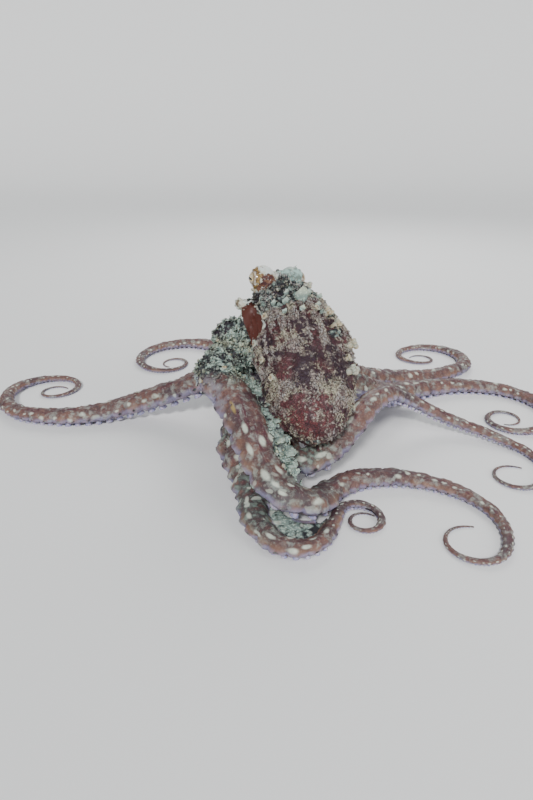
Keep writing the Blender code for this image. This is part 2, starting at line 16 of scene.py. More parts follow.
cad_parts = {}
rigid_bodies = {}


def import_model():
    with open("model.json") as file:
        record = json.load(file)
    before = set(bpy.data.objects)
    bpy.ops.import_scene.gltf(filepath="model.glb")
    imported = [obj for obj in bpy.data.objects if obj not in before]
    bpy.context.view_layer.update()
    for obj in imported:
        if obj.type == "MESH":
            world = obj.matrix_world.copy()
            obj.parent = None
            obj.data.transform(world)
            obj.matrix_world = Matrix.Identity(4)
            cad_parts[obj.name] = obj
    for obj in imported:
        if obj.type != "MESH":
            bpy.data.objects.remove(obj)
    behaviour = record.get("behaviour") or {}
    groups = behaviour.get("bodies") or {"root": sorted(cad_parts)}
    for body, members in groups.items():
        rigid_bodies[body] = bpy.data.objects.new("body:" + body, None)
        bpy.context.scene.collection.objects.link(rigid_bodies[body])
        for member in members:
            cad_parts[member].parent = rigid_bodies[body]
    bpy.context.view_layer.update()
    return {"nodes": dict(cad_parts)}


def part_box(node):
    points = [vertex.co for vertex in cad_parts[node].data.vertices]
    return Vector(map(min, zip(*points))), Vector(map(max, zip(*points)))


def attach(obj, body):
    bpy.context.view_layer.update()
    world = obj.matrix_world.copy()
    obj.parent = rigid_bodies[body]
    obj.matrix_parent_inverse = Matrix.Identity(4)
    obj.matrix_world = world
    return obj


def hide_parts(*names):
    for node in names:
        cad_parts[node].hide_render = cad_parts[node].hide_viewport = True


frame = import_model()

MM = 0.001
UP = Vector((0, 0, 1))
FACING = math.radians(107)           # the way the animal faces, from +X, seen from above
AHEAD = Vector((math.cos(FACING), math.sin(FACING), 0))
TO_LEFT = Vector((-AHEAD.y, AHEAD.x, 0))

SEAM = 0.002 * MM                    # points closer than this are one

# Arms: bearing, girth, stub length, lift of the stub's end, strokes of (length, turn, lift, roll).
ARM_HALF_WIDTH = 17 * MM
TIP_HALF_WIDTH = 0.9 * MM
TAPER = 1.15
ARM_START = 14                       # path steps in from the crown's middle where a tube begins
ARM_BEADS = 40                       # how many beads of markings are set aside for each arm
BEND_BLEND = 14                      # how many mm a turn and a lift are eased over
LIFT_BLEND = 34
SUCKER_DEPTH = 0.24                  # in half widths, as the sole's and the back's distances are
SUCKER_LEAST = 0.3 * MM
SOLE = 0.48
BACK = 0.84
ARMS = {
    "left_1": (118, 0.88, 50, 36, [(58, -14, 8, 0), (64, -10, 0, 0), (70, 66, 0, 0), (70, 80, 0, 0),
                                   (60, 90, 0, 0), (56, 140, 0, 0), (50, 230, 0, 0)]),
    "left_2": (157, 0.92, 50, 38, [(56, 22, 12, 0), (60, 20, 0, 0), (70, -36, 0, 0), (72, -70, 0, 0),
                                   (66, -100, 0, 0), (60, -160, 0, 0), (54, -240, 0, 0)]),
    "left_3": (196, 1.1, 38, 62, [(42, 110, 52, 0), (48, -20, 38, 0), (40, 12, 20, 0), (42, 134, 2, 0),
                                  (60, -62, 0, 0), (70, -56, 0, 0), (64, -80, 0, 0), (80, -250, 0, 0)]),
    "left_4": (225, 0.92, 44, 16, [(34, 66, 0, 0), (64, -18, 0, 0), (38, 44, 0, 0), (35, 106, 0, 16),
                                   (32, 10, 0, 30), (50, -200, 0, 0), (50, -280, 0, 0)]),
    "right_4": (264, 0.85, 44, 24, [(24, 8, 12, 0), (36, 120, 10, 0), (46, 20, 38, 0), (44, 2, 40, 0),
                                    (58, -70, 8, 0), (66, -30, 0, 0), (64, -100, 0, 0), (70, -250, 0, 0)]),
    "right_3": (9, 0.92, 50, 34, [(52, 44, 8, 0), (60, -24, 0, 0), (66, -40, 0, 0), (70, -76, 0, 0),
                                  (62, -96, 0, 0), (56, -150, 0, 0), (50, -230, 0, 0)]),
    "right_2": (40, 0.9, 50, 36, [(58, 2, 10, 0), (62, -24, 0, 0), (66, 24, 0, 0), (66, 84, 0, 0),
                                  (60, 96, 0, 0), (56, 150, 0, 0), (50, 230, 0, 0)]),
    "right_1": (80, 0.88, 50, 38, [(60, 18, 10, 0), (58, 8, 0, 0), (62, -64, 0, 0), (62, -90, 0, 0),
                                   (60, -110, 0, 0), (54, -160, 0, 0), (48, -230, 0, 0)]),
}

CROWN_CENTRE = Vector((0, 2, 58)) * MM

# The head's eye bulges and the eyes in them.
EYES_MIDDLE = Vector((-7, 19, 130.5)) * MM
EYE_AXIS = (TO_LEFT + UP * 0.1).normalized()
EYE_SPREAD = 12.3 * MM
EYE_RADIUS = 7 * MM
EYE_OUT = 4.4 * MM
BULGE_RADIUS = 10.7 * MM
PUPIL_HALF_LENGTH = 0.56             # the slit, in eye radii, and how far its ends dip
PUPIL_HALF_HEIGHT = 0.155
PUPIL_DIP = 0.22

# The web inside the bend of left_4: beside which arm, mm along it, half widths to the arm's right.
FOLD_OUTLINE = [("left_4", s, -0.6) for s in (92, 108, 124, 140, 154, 166, 176, 186, 198, 210, 222)]
FOLD_OUTLINE += [("left_3", 206, 0.8), ("left_3", 198, 0.9), ("left_3", 190, 0.4), ("left_3", 180, 0.0),
                 ("left_3", 168, -0.5), ("left_3", 154, -0.8), ("left_3", 140, -0.8), ("left_3", 126, -0.8)]
FOLD_FOOT = 0.4                      # mm off the floor
# Its rings: share of the outline, in turn of the ring before, and height.
FOLD_RINGS = ((1.0, 5 * MM), (0.75, 6.6 * MM), (0.4 / 0.75, 7.5 * MM))

# The mantle's curved middle line and girth.
MANTLE_FRONT = Vector((-4, 6, 113)) * MM
MANTLE_MIDDLE = Vector((14, -44, 80)) * MM
MANTLE_END = Vector((17, -96, 42)) * MM
MANTLE_HALF_WIDTH = 36 * MM
MANTLE_FLATNESS = 0.84
MANTLE_WIDEST = 0.40
MANTLE_NECK = 0.66
MANTLE_SLOPE = math.atan2(71, 102)
# The smooth red patch where the funnel lies in the mantle's opening: its corners across and up, in mm.
FUNNEL_PATCH = [(-36, 115), (-27, 119.5), (-18.5, 110), (-24, 92.5), (-29, 94)]
FUNNEL_MIDDLE = Vector((-29, -14, 101)) * MM

# Large knobs. On the mantle: share of its length, degrees round it, radius in mm. On the head: which bulge,
# how far outward, up and back from its middle, radius in mm.
MANTLE_KNOBS = [(0.26, 74, 2.4), (0.30, 63, 3.6), (0.38, 54, 3.0), (0.477, 33, 3.8), (0.57, 42, 2.6),
                (0.65, 42, 3.8), (0.65, -24, 2.8), (0.80, 8, 2.4), (0.34, 168, 2.6), (0.50, 158, 2.4),
                (0.66, 146, 2.6), (0.22, 140, 2.4)]
HEAD_KNOBS = [(-1, 0.95, -0.35, 0.3, 3.6), (1, 0.75, -0.8, 0.1, 2.2), (1, 0.1, -0.5, -0.9, 2.4),
              (-1, 0.2, -0.4, -0.9, 2.2)]
CORNER_KNOB = Vector((-36, -8, 117.3)) * MM
CORNER_WAY = Vector((-13, -1.5, -2.2)).normalized()

# How fine the skin is.
CORE_VOXEL = 1.3 * MM
ARM_SIDES = 24
ARM_STEP = 1.7 * MM
FLOOR_GAP = 0.05 * MM                # how far small forms stay off the floor
PATCH_HALF = 0.0015                  # half of a small form's patch on its bake map

# Camera, as it stood behind and above the animal.
CAMERA_PLACE = Vector((-0.0156, -0.4485, 0.240))
CAMERA_PITCH = math.radians(25)
LENS_OVER_FRAME = 578 / 800


# Small tools.

def smooth_run(values, width):
    """The values averaged over a window, with their ends held."""
    padded = np.concatenate([np.full(width, values[0]), values, np.full(width, values[-1])])
    return np.convolve(padded, np.ones(width) / width, mode="same")[width:-width]


def ease(value, low, high):
    """0 below low, 1 above high, eased between; numbers or arrays, and low may be above high."""
    t = np.clip((value - low) / (high - low), 0, 1)
    return t * t * (3 - 2 * t)


def hump(value, centre, spread):
    """1 at the centre, falling off on both sides."""
    return np.exp(-((value - centre) / spread) ** 2)


def dots_of(ways, others):
    """The dot product of each vector with its partner."""
    return np.einsum("ij,ij->i", ways, others)


def finder(spots):
    """A tree that finds the nearest of some places."""
    tree = kdtree.KDTree(len(spots))
    for i, spot in enumerate(spots):
        tree.insert(spot, i)
    tree.balance()
    return tree


def link(name, data):
    made = bpy.data.objects.new(name, data)
    bpy.context.scene.collection.objects.link(made)
    return made


def from_bmesh(name, bm):
    mesh = bpy.data.meshes.new(name)
    bm.to_mesh(mesh)
    bm.free()
    return link(name, mesh)


def rolled(sides, rows, place_of):
    """A grid rolled into a closed tube; place_of(angles round, shares along) gives its points."""
    bm = bmesh.new()
    bmesh.ops.create_grid(bm, x_segments=sides, y_segments=rows, size=1.0)
    corners = np.array([v.co[:2] for v in bm.verts])
    for vert, spot in zip(bm.verts, place_of((corners[:, 0] + 1) * math.pi, (corners[:, 1] + 1) / 2)):
        vert.co = spot
    return closed(bm)


def closed(bm):
    """Merges the seams, closes the ends and turns every face outward."""
    bmesh.ops.remove_doubles(bm, verts=bm.verts, dist=SEAM)
    bmesh.ops.holes_fill(bm, edges=[e for e in bm.edges if e.is_boundary], sides=0)
    bmesh.ops.recalc_face_normals(bm, faces=bm.faces)
    return bm


def applied(obj):
    """Fixes an object's modifiers into its mesh."""
    bpy.context.view_layer.update()
    mesh = bpy.data.meshes.new_from_object(obj.evaluated_get(bpy.context.evaluated_depsgraph_get()))
    obj.modifiers.clear()
    obj.data = mesh


def vectors_of(data, field, count):
    """A mesh's points or normals as rows of three numbers."""
    flat = np.empty(count * 3, dtype=np.float32)
    data.foreach_get(field, flat)
    return flat.reshape(-1, 3).astype(float)


def points_of(mesh):
    return vectors_of(mesh.vertices, "co", len(mesh.vertices))


def normals_of(mesh):
    return vectors_of(mesh.vertex_normals, "vector", len(mesh.vertices))


def set_points(mesh, points):
    mesh.vertices.foreach_set("co", np.ascontiguousarray(points, dtype=np.float32).ravel())
    mesh.update()


def store(mesh, name, values):
    """Keeps one number, a vector or a four-part colour for each vertex under a name."""
    values = np.asarray(values, dtype=np.float32)
    parts = 1 if values.ndim == 1 else values.shape[1]
    kind, field = {1: ("FLOAT", "value"), 3: ("FLOAT_VECTOR", "vector"), 4: ("FLOAT_COLOR", "color")}[parts]
    mesh.attributes.new(name, kind, "POINT").data.foreach_set(field, values.ravel())


def cobbles(points, scale):
    """Round cobbles of skin: 0 in the creases between them and 1 on their tops."""
    tops = []
    for point in points:
        place = Vector(point) * scale
        place += noise.noise_vector(place * 0.7) * 0.45
        near = noise.voronoi(place)[0]
        tops.append(near[1] - near[0])
    return np.clip(np.array(tops) / 0.5, 0, 1)


def ripple(points, scale, octaves=3):
    """Fractal noise of about -1 to 1 at each point."""
    return np.array([noise.fractal(Vector(p) * scale, 1.0, 2.0, octaves) for p in points])


# The arms' paths.

def beads_per_mm(width):
    """Spots and lobes are spaced by the arm's own width, so they close up towards the tip."""
    return MM / (1.15 * width + 2.5 * MM)


def sucker_depth(width):
    return SUCKER_DEPTH * width + SUCKER_LEAST


class Arm:
    """An arm's middle line from the crown to the tip, with the frame of its section."""

    def __init__(self, bearing, girth, stub, lift, strokes):
        turns = [np.zeros(stub)]
        ends = [stub]
        for length, turn, _, _ in strokes:
            turns.append(np.full(length, math.radians(turn) / length))
            ends.append(ends[-1] + length)
        heading = math.radians(bearing) + np.cumsum(smooth_run(np.concatenate(turns), BEND_BLEND))
        steps = np.arange(len(heading))
        self.length = ends[-1] * MM
        self.along = steps * MM
        share = 1 - steps / ends[-1]
        self.width = ARM_HALF_WIDTH * girth * share ** TAPER + TIP_HALF_WIDTH * (1 - 0.4 * (1 - share))
        rise = np.interp(steps, [0] + ends, [lift + 12.0, lift] + [s[2] for s in strokes])
        rise = smooth_run(smooth_run(rise, LIFT_BLEND), LIFT_BLEND) * MM
        rise[rise < 0.15 * MM] = 0
        self.roll = np.radians(smooth_run(np.interp(steps, [0] + ends, [0, 0] + [s[3] for s in strokes]),
                                          LIFT_BLEND))
        depth = sucker_depth(self.width)
        edge = np.maximum(0.7 * np.sin(self.roll) + 0.42 * np.cos(self.roll), np.sin(self.roll)) * self.width
        rims = 0.75 * self.width * np.sin(self.roll) + (SOLE * self.width + depth) * np.cos(self.roll)
        self.middle = np.stack([np.cumsum(np.cos(heading)) * MM, np.cumsum(np.sin(heading)) * MM,
                                np.maximum(edge, rims) + rise], axis=1)
        ahead = np.gradient(self.middle, axis=0)
        ahead /= np.linalg.norm(ahead, axis=1)[:, None]
        side = np.cross(ahead, [0, 0, 1])
        side /= np.linalg.norm(side, axis=1)[:, None]
        back = np.cross(side, ahead)
        cos, sin = np.cos(self.roll)[:, None], np.sin(self.roll)[:, None]
        self.side = side * cos + back * sin
        self.back = back * cos - side * sin
        self.ahead = ahead
        self.beads = np.cumsum(beads_per_mm(self.width))

    def at(self, values, s):
        """A value, or each part of a vector, s metres along."""
        if values.ndim == 1:
            return np.interp(s, self.along, values)
        return np.stack([np.interp(s, self.along, values[:, i]) for i in range(3)], axis=-1)

    def over(self, s, lift):
        """A point over the middle line, by millimetres along and millimetres up from it."""
        return self.at(self.middle, s * MM) + self.at(self.back, s * MM) * (lift * MM)

    def lobes(self, s, ways):
        """The wave of lobes along its two edges; ways is positive on one side and negative on the other."""
        return lobe_wave(self.at(self.beads, s), ways)


def lobe_wave(beads, ways):
    return np.sin(beads * 2 * math.pi * 1.1 + 1.5 * np.sign(ways))


arms = {name: Arm(*plan) for name, plan in ARMS.items()}


def arm_tube(name, arm):
    """A grid rolled round the arm's path: a domed back, a web ridge on each side and a flat sole."""
    stations = [ARM_START * MM]
    while stations[-1] < arm.length - 1 * MM:
        width = float(arm.at(arm.width, stations[-1]))
        stations.append(stations[-1] + min(ARM_STEP, 0.6 * MM + 0.22 * width))
    stations[-1] = arm.length - 0.5 * MM

    def place_of(angle, share):
        s = np.interp(share * (len(stations) - 1), range(len(stations)), stations)
        width = arm.at(arm.width, s)
        swell = 1 + 0.03 * ease(s, 70 * MM, 40 * MM)
        ridge = 0.13 * (1 + 0.8 * arm.lobes(s, np.cos(angle))) * hump(np.sin(angle), 0, 0.2)
        across = np.cos(angle) * (1 + ridge) * width * swell
        rise = np.where(np.sin(angle) > 0, BACK * np.abs(np.sin(angle)) ** 0.9,
                        -SOLE * np.abs(np.sin(angle)) ** 0.5) * width * swell
        return (arm.at(arm.middle, s) + arm.at(arm.side, s) * across[:, None]
                + arm.at(arm.back, s) * rise[:, None])

    bm = rolled(ARM_SIDES, len(stations) - 1, place_of)
    bmesh.ops.triangulate(bm, faces=[f for f in bm.faces if len(f.verts) > 4])
    return from_bmesh("arm_tube_" + name, bm)


# The mantle.

def mantle_axis(t):
    bend = MANTLE_MIDDLE * 2 - (MANTLE_FRONT + MANTLE_END) / 2
    return MANTLE_FRONT * (1 - t) ** 2 + bend * 2 * t * (1 - t) + MANTLE_END * t * t


def mantle_half_width(t):
    if t < MANTLE_WIDEST:
        off = (MANTLE_WIDEST - t) / MANTLE_WIDEST
        return MANTLE_HALF_WIDTH * (1 - (1 - MANTLE_NECK) * off ** 2)
    off = (t - MANTLE_WIDEST) / (1 - MANTLE_WIDEST)
    return MANTLE_HALF_WIDTH * math.sqrt(max(1 - off ** 2.3, 0))


def mantle_frame(t):
    """The middle line's point at a share of the mantle's length, with its ways to the side, up and along."""
    along = (mantle_axis(t + 0.01) - mantle_axis(t - 0.01)).normalized()
    side = along.cross(UP).normalized()
    return mantle_axis(t), side, side.cross(along), along


def mantle_point(t, angle):
    """A point of the mantle's skin; angle 0 is the animal's right side and 90 degrees its back."""
    axis, side, back, _ = mantle_frame(t)
    width = mantle_half_width(t)
    return axis - side * (width * math.cos(angle)) + back * (width * MANTLE_FLATNESS * math.sin(angle))


def mantle_sac():
    """A grid rolled into the sac, its rows closer together at the blunt end."""
    rows, sides = 60, 72
    return from_bmesh("mantle_sac", rolled(sides, rows, lambda angles, shares: [
        mantle_point(math.sin(math.pi / 2 * share * rows / (rows + 0.15)), angle)
        for angle, share in zip(angles, shares)]))


def faces_among(geom):
    return [part for part in geom if isinstance(part, bmesh.types.BMFace)]


def verts_among(geom):
    return [part for part in geom if isinstance(part, bmesh.types.BMVert)]


def web_fold():
    """The low web inside the bend of left_4, in rings from its floor edge to its domed middle."""
    outline = []
    for name, s, out in FOLD_OUTLINE:
        arm = arms[name]
        side = Vector(arm.at(arm.ahead, s * MM)).cross(UP).normalized()
        place = Vector(arm.at(arm.middle, s * MM)) + side * (out * float(arm.at(arm.width, s * MM)))
        outline.append(Vector((place.x, place.y, 0)))
    middle = sum(outline, Vector()) / len(outline)
    bm = bmesh.new()
    bm.faces.new([bm.verts.new(corner + UP * FOLD_FOOT * MM) for corner in outline])
    top = faces_among(bmesh.ops.duplicate(bm, geom=bm.faces[:])["geom"])
    height = FOLD_FOOT * MM
    for share, rise in FOLD_RINGS:
        made = bmesh.ops.extrude_face_region(bm, geom=top)["geom"]
        bmesh.ops.delete(bm, geom=[face for face in top if face.is_valid], context="FACES_ONLY")
        top = faces_among(made)
        ring = verts_among(made)
        bmesh.ops.scale(bm, verts=ring, vec=(share, share, 1), space=Matrix.Translation(-middle))
        bmesh.ops.translate(bm, verts=ring, vec=(0, 0, rise - height))
        height = rise
    return from_bmesh("web_fold", closed(bm))


STRIP_STATIONS = np.arange(64, 200, 2) * MM


def strip_line():
    """The middle of the web along the side of left_3 that faces the mantle."""
    arm = arms["left_3"]
    width = arm.at(arm.width, STRIP_STATIONS)[:, None]
    return (arm.at(arm.middle, STRIP_STATIONS) - arm.at(arm.side, STRIP_STATIONS) * (0.92 * width + 4.5 * MM)
            + arm.at(arm.back, STRIP_STATIONS) * (0.12 * width))


STRIP_LINE = strip_line()


def side_web():
    """That web: a soft, ruffled strip, thickest where it joins the arm."""
    arm = arms["left_3"]

    def place_of(angle, share):
        s = STRIP_STATIONS[0] + share * (STRIP_STATIONS[-1] - STRIP_STATIONS[0])
        fade = np.sqrt(np.sin(math.pi * np.clip(share, 0.01, 0.99)))
        ruffle = np.sin(arm.at(arm.beads, s) * 2 * math.pi * 1.7)
        across = np.cos(angle) * (7.5 + 1.2 * ruffle) * fade * MM
        rise = np.sin(angle) * 2.5 * fade * MM + np.cos(angle + math.pi) * 1.2 * ruffle * fade * MM
        middle = np.stack([np.interp(s, STRIP_STATIONS, STRIP_LINE[:, i]) for i in range(3)], axis=1)
        return middle + (arm.at(arm.side, s) * across[:, None] + arm.at(arm.back, s) * rise[:, None])

    return from_bmesh("side_web", rolled(14, len(STRIP_STATIONS) - 1, place_of))


# The eyes' places.

def eye_outward(sign):
    return (TO_LEFT * sign + UP * 0.12 - AHEAD * 0.05).normalized()


def eye_centre(sign):
    return EYES_MIDDLE + EYE_AXIS * (sign * EYE_SPREAD) + eye_outward(sign) * EYE_OUT


low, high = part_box("eye_left")
ROW_SHIFT = (Vector(low) + Vector(high)) / 2 - eye_centre(1)
ROW_SHIFT.z = 0


# The skin.

def node_copy(name):
    """A CAD node's mesh, merged, in the animal's own frame."""
    bm = bmesh.new()
    bm.from_mesh(frame["nodes"][name].data)
    bmesh.ops.remove_doubles(bm, verts=bm.verts, dist=0.01 * MM)
    bmesh.ops.translate(bm, verts=bm.verts, vec=-ROW_SHIFT)
    return from_bmesh("copy_" + name, bm)


def lump(name, centre, radius):
    bm = bmesh.new()
    bmesh.ops.create_icosphere(bm, subdivisions=3, radius=radius)
    bmesh.ops.translate(bm, verts=bm.verts, vec=centre)
    return from_bmesh(name, bm)


def body_core():
    """Crown, head, funnel and mantle run together into one smooth form."""
    pieces = [node_copy("arm_crown"), node_copy("head"), node_copy("funnel"), mantle_sac(), web_fold(),
              side_web(), lump("knob", CORNER_KNOB, 4.4 * MM),
              lump("neck", CORNER_KNOB - CORNER_WAY * 7 * MM, 3.4 * MM),
              lump("plug", FUNNEL_MIDDLE + Vector((1, 3, 0)) * MM, 10 * MM)]
    bm = bmesh.new()
    for piece in pieces:
        bm.from_mesh(piece.data)
        bpy.data.objects.remove(piece)
    core = from_bmesh("octopus_skin", bm)
    remesh = core.modifiers.new("run together", "REMESH")
    remesh.mode = "VOXEL"
    remesh.voxel_size = CORE_VOXEL
    soften = core.modifiers.new("soften", "SMOOTH")
    soften.factor = 0.5
    soften.iterations = 7
    applied(core)
    keep_largest(core, 0.01)
    return core


def keep_largest(obj, least=1.0):
    """Drops every loose shell; with least below 1, only those smaller than that share of the largest."""
    bm = bmesh.new()
    bm.from_mesh(obj.data)
    left = set(bm.verts)
    shells = []
    while left:
        stack = [left.pop()]
        shell = set(stack)
        while stack:
            for edge in stack.pop().link_edges:
                for vert in edge.verts:
                    if vert in left:
                        left.discard(vert)
                        shell.add(vert)
                        stack.append(vert)
        shells.append(shell)
    largest = max(len(shell) for shell in shells)
    loose = [v for shell in shells if len(shell) < least * largest for v in shell]
    bmesh.ops.delete(bm, geom=loose, context="VERTS")
    bm.to_mesh(obj.data)
    bm.free()


def join_arms(core):
    """Fuses the eight tubes with the core and eases the creases where they meet."""
    tubes = bpy.data.collections.new("arm tubes")
    bpy.context.scene.collection.children.link(tubes)
    for name, arm in arms.items():
        tube = arm_tube(name, arm)
        bpy.context.scene.collection.objects.unlink(tube)
        tubes.objects.link(tube)
    fuse = core.modifiers.new("fuse", "BOOLEAN")
    fuse.operation = "UNION"
    fuse.operand_type = "COLLECTION"
    fuse.collection = tubes
    fuse.solver = "MANIFOLD"
    applied(core)
    for tube in list(tubes.objects):
        bpy.data.objects.remove(tube)
    bpy.data.collections.remove(tubes)
    keep_largest(core)
    bm = bmesh.new()
    bm.from_mesh(core.data)
    bmesh.ops.remove_doubles(bm, verts=bm.verts, dist=0.12 * MM)
    near = [v for v in bm.verts if (v.co - CROWN_CENTRE).length < 66 * MM and v.co.z < 100 * MM]
    round_funnel = [v for v in bm.verts if (v.co - FUNNEL_MIDDLE).length < 15 * MM]
    axes = {"use_axis_x": True, "use_axis_y": True, "use_axis_z": True}
    for verts, times in ((near, 14), (round_funnel, 40)):
        for _ in range(times):
            bmesh.ops.smooth_vert(bm, verts=verts, factor=0.5, **axes)
    bm.to_mesh(core.data)
    bm.free()
    return core


class Survey:
    """Where each point of the skin lies: on which arm, how far along and round it, and how far off."""

    def __init__(self, points):
        count = len(points)
        self.near = np.full(count, 9.0)
        self.s = np.zeros(count)
        self.beads = np.zeros(count)
        self.across = np.zeros(count)
        self.above = np.zeros(count)
        self.width = np.full(count, ARM_HALF_WIDTH)
        self.arm = np.zeros(count, dtype=int)
        for index, arm in enumerate(arms.values()):
            tree = finder(arm.middle[ARM_START:])
            step = np.array([tree.find(p)[1] for p in points]) + ARM_START
            off = points - arm.middle[step]
            width = arm.width[step]
            near = np.linalg.norm(off, axis=1) / width
            slip = dots_of(off, arm.ahead[step]) / MM
            here = {"near": near, "s": arm.along[step], "width": width, "arm": np.full(count, index),
                    "beads": np.interp(step + slip, range(len(arm.beads)), arm.beads) + ARM_BEADS * index,
                    "across": dots_of(off, arm.side[step]) / width,
                    "above": dots_of(off, arm.back[step]) / width}
            nearer = near < self.near
            for label, values in here.items():
                getattr(self, label)[nearer] = values[nearer]

    def around(self):
        """The way round the section: 0 on the back's middle line, 1 at each web ridge, 2 under the sole."""
        return np.arctan2(self.across, self.above + 0.12) / (math.pi / 2)


def blob(points, centre, radius, edge=0.5):
    """1 inside a ball in millimetres, easing to 0 outside it."""
    away = np.linalg.norm(points - np.array(centre) * MM, axis=1) / (radius * MM)
    return ease(away, 1 + edge, 1 - edge)


def round_mantle(points):
    """Share of the mantle's length, degrees round it, and distance from its skin, for each point."""
    shares = np.linspace(0.0, 1.0, 80)
    frames = [mantle_frame(t) for t in shares]
    axis, side, back, ahead = (np.array([ways[i] for ways in frames]) for i in range(4))
    tree = finder(axis)
    step = np.array([tree.find(p)[1] for p in points])
    off = points - axis[step]
    across = -dots_of(off, side[step])
    above = dots_of(off, back[step]) / MANTLE_FLATNESS
    past = dots_of(off, ahead[step])
    half = np.array([mantle_half_width(t) for t in shares])[step]
    return shares[step], np.degrees(np.arctan2(above, across)), np.hypot(np.hypot(across, above), past) - half


def largest_of(*masks):
    return np.maximum.reduce(masks)


def inside_patch(points):
    """How far each point lies inside the funnel's patch, in mm, seen from behind."""
    inside = np.full(len(points), 9.0)
    for (x0, z0), (x1, z1) in zip(FUNNEL_PATCH, FUNNEL_PATCH[1:] + FUNNEL_PATCH[:1]):
        off = (z1 - z0) * (points[:, 0] / MM - x0) - (x1 - x0) * (points[:, 2] / MM - z0)
        inside = np.minimum(inside, off / math.hypot(x1 - x0, z1 - z0))
    return inside


def mantle_pallor(points, t, degrees, mantle):
    """Where the mantle pales: two bands, its right side low down, and ribs near the neck; and the ribs."""
    along = t + 0.06 * ripple(points + 11.0, 75, 3)
    blotch = ripple(points + 2.0, 90, 2)
    pale = 1.05 * hump(along, 0.50, 0.05) + 0.95 * hump(along, 0.76, 0.055)
    pale += 0.9 * hump(along, 0.82, 0.14) * hump(degrees, 22, 30) + 0.3 * ease(along, 0.42, 0.2)
    pale += 0.7 * hump(along, 0.2, 0.07) + 0.12 * hump(along, 0.32, 0.07) - 0.25 * hump(along, 0.38, 0.04)
    pale += 0.4 * hump(degrees, 165, 25)
    turn = np.radians(degrees)
    ribs = ripple(np.stack([np.cos(turn) * 0.03, np.sin(turn) * 0.03, t * 0.012], axis=1), 300, 2)
    ribs = ribs * mantle * ease(along, 0.55, 0.35)
    return mantle * np.clip(pale * (0.85 + 0.9 * blotch) + 0.05 + 0.5 * blotch + 3.4 * ribs, 0, 1), ribs


def mossy(points, survey, arm, uneven):
    """Where the arms are green-grey: beside the mantle's end, along parts of two arms, and at every root."""
    beside_mantle = arms["right_4"].at(arms["right_4"].middle, 124 * MM) + np.array((-0.004, 0.003, 0.008))
    moss = largest_of(blob(points, (-12, -122, 4), 34, 0.5), blob(points, (-30, -108, 6), 24, 0.5),
                      blob(points, arms["right_4"].over(97, 6) / MM, 17, 0.5),
                      0.7 * blob(points, beside_mantle / MM, 13, 0.6),
                      0.95 * blob(points, arms["left_3"].over(70, 12) / MM, 22, 0.5))
    return largest_of(moss, 0.9 * arm * ease(survey.s + 14 * MM * uneven, 82 * MM, 50 * MM))


def regions(points, survey):
    """How much of each marking every point carries."""
    t, degrees, off = round_mantle(points)
    height = points[:, 2]
    uneven = ripple(points, 60, 2)
    beside_arm = ease(survey.near, 1.25, 1.1) * ease(height, 30 * MM, 24 * MM)
    mantle = ease(off, 5 * MM, 1 * MM) * ease(height, 3 * MM, 7 * MM) * (1 - beside_arm)
    arm = ease(survey.near, 1.3, 1.12) * ease(survey.s, 30 * MM, 52 * MM) * (1 - mantle)
    head = ease(height, 100 * MM, 112 * MM) * (1 - mantle)
    inside = inside_patch(points)
    behind = ease(points[:, 1], 4 * MM, 0)
    funnel = ease(inside, -0.7, 0.7) * behind * ease(points[:, 1], -40 * MM, -36 * MM)
    shoulder = largest_of(blob(points, (-52, -24, 84), 30), blob(points, (-42, 0, 92), 24))
    neck = ease(t + 0.05 * uneven, 0.24, 0.12) * mantle
    crown = (1 - arm) * (1 - mantle) * (1 - head) * blob(points, (0, -4, 56), 60, 0.15)
    line = finder(STRIP_LINE)
    off_line = np.array([line.find(p)[2] for p in points])
    strip = ease(off_line + 1.5 * MM * uneven, 10.5 * MM, 7.5 * MM) * (1 - mantle)
    clusters = largest_of(hump(t, 0.43, 0.05) * hump(degrees, 56, 20),
                          hump(t, 0.28, 0.05) * hump(degrees, 60, 16))
    clusters = mantle * ease(clusters + 0.25 * uneven, 0.45, 0.75)
    mint = largest_of(shoulder, neck * 0.9, crown * 0.9, head * 0.6, strip, 0.85 * clusters)
    left_bulge, right_bulge = (np.array(EYES_MIDDLE + EYE_AXIS * away) / MM
                               for away in (EYE_SPREAD, -EYE_SPREAD))
    bulge = blob(points, left_bulge, 13.5, 0.25) * ease(height, 116 * MM, 122 * MM)
    knob = blob(points, CORNER_KNOB / MM, 6.0, 0.3)
    rim = hump(inside, -0.9, 0.8) * ease(height, 104 * MM, 108 * MM) * behind
    cream = largest_of(bulge, knob, rim * 0.8)
    rust = blob(points, left_bulge + np.array((5.0, -8, -4.0)), 9, 0.6)
    plum = blob(points, left_bulge + np.array((3, -7, -14)), 9.5, 0.4) * (1 - 0.5 * rust)
    off_eye = np.linalg.norm(points - np.array(eye_centre(1)), axis=1)
    pale, ribs = mantle_pallor(points, t, degrees, mantle)
    mauve = arm * (survey.arm == list(arms).index("left_3")) * ease(survey.s, 46 * MM, 58 * MM)
    return {"mantle": mantle, "mint": np.clip(mint, 0, 1), "cream": cream, "pale": pale,
            "arm": arm, "under": arm * ease(survey.above, -0.28, -0.44),
            "edge": arm * hump(np.abs(survey.around()), 1.0, 0.12), "funnel": funnel * (1 - arm),
            "red_end": mantle * ease(t, 0.72, 0.92) * hump(degrees, 100, 50),
            "moss": mossy(points, survey, arm, uneven),
            "smooth": largest_of(cream, blob(points, right_bulge, 12.5, 0.2)), "none": np.zeros(len(points)),
            "rust": rust, "plum": plum, "gold": ease(off_eye, 13 * MM, 7.5 * MM) * cream,
            "ribbed": mantle * hump(t, 0.31, 0.09), "knob": knob,
            "mauve": mauve * ease(survey.s, 122 * MM, 98 * MM) * ease(survey.around(), 0.25, 0.6),
            "t": t, "head": head, "neck": neck, "strip": strip, "ribs": ribs}


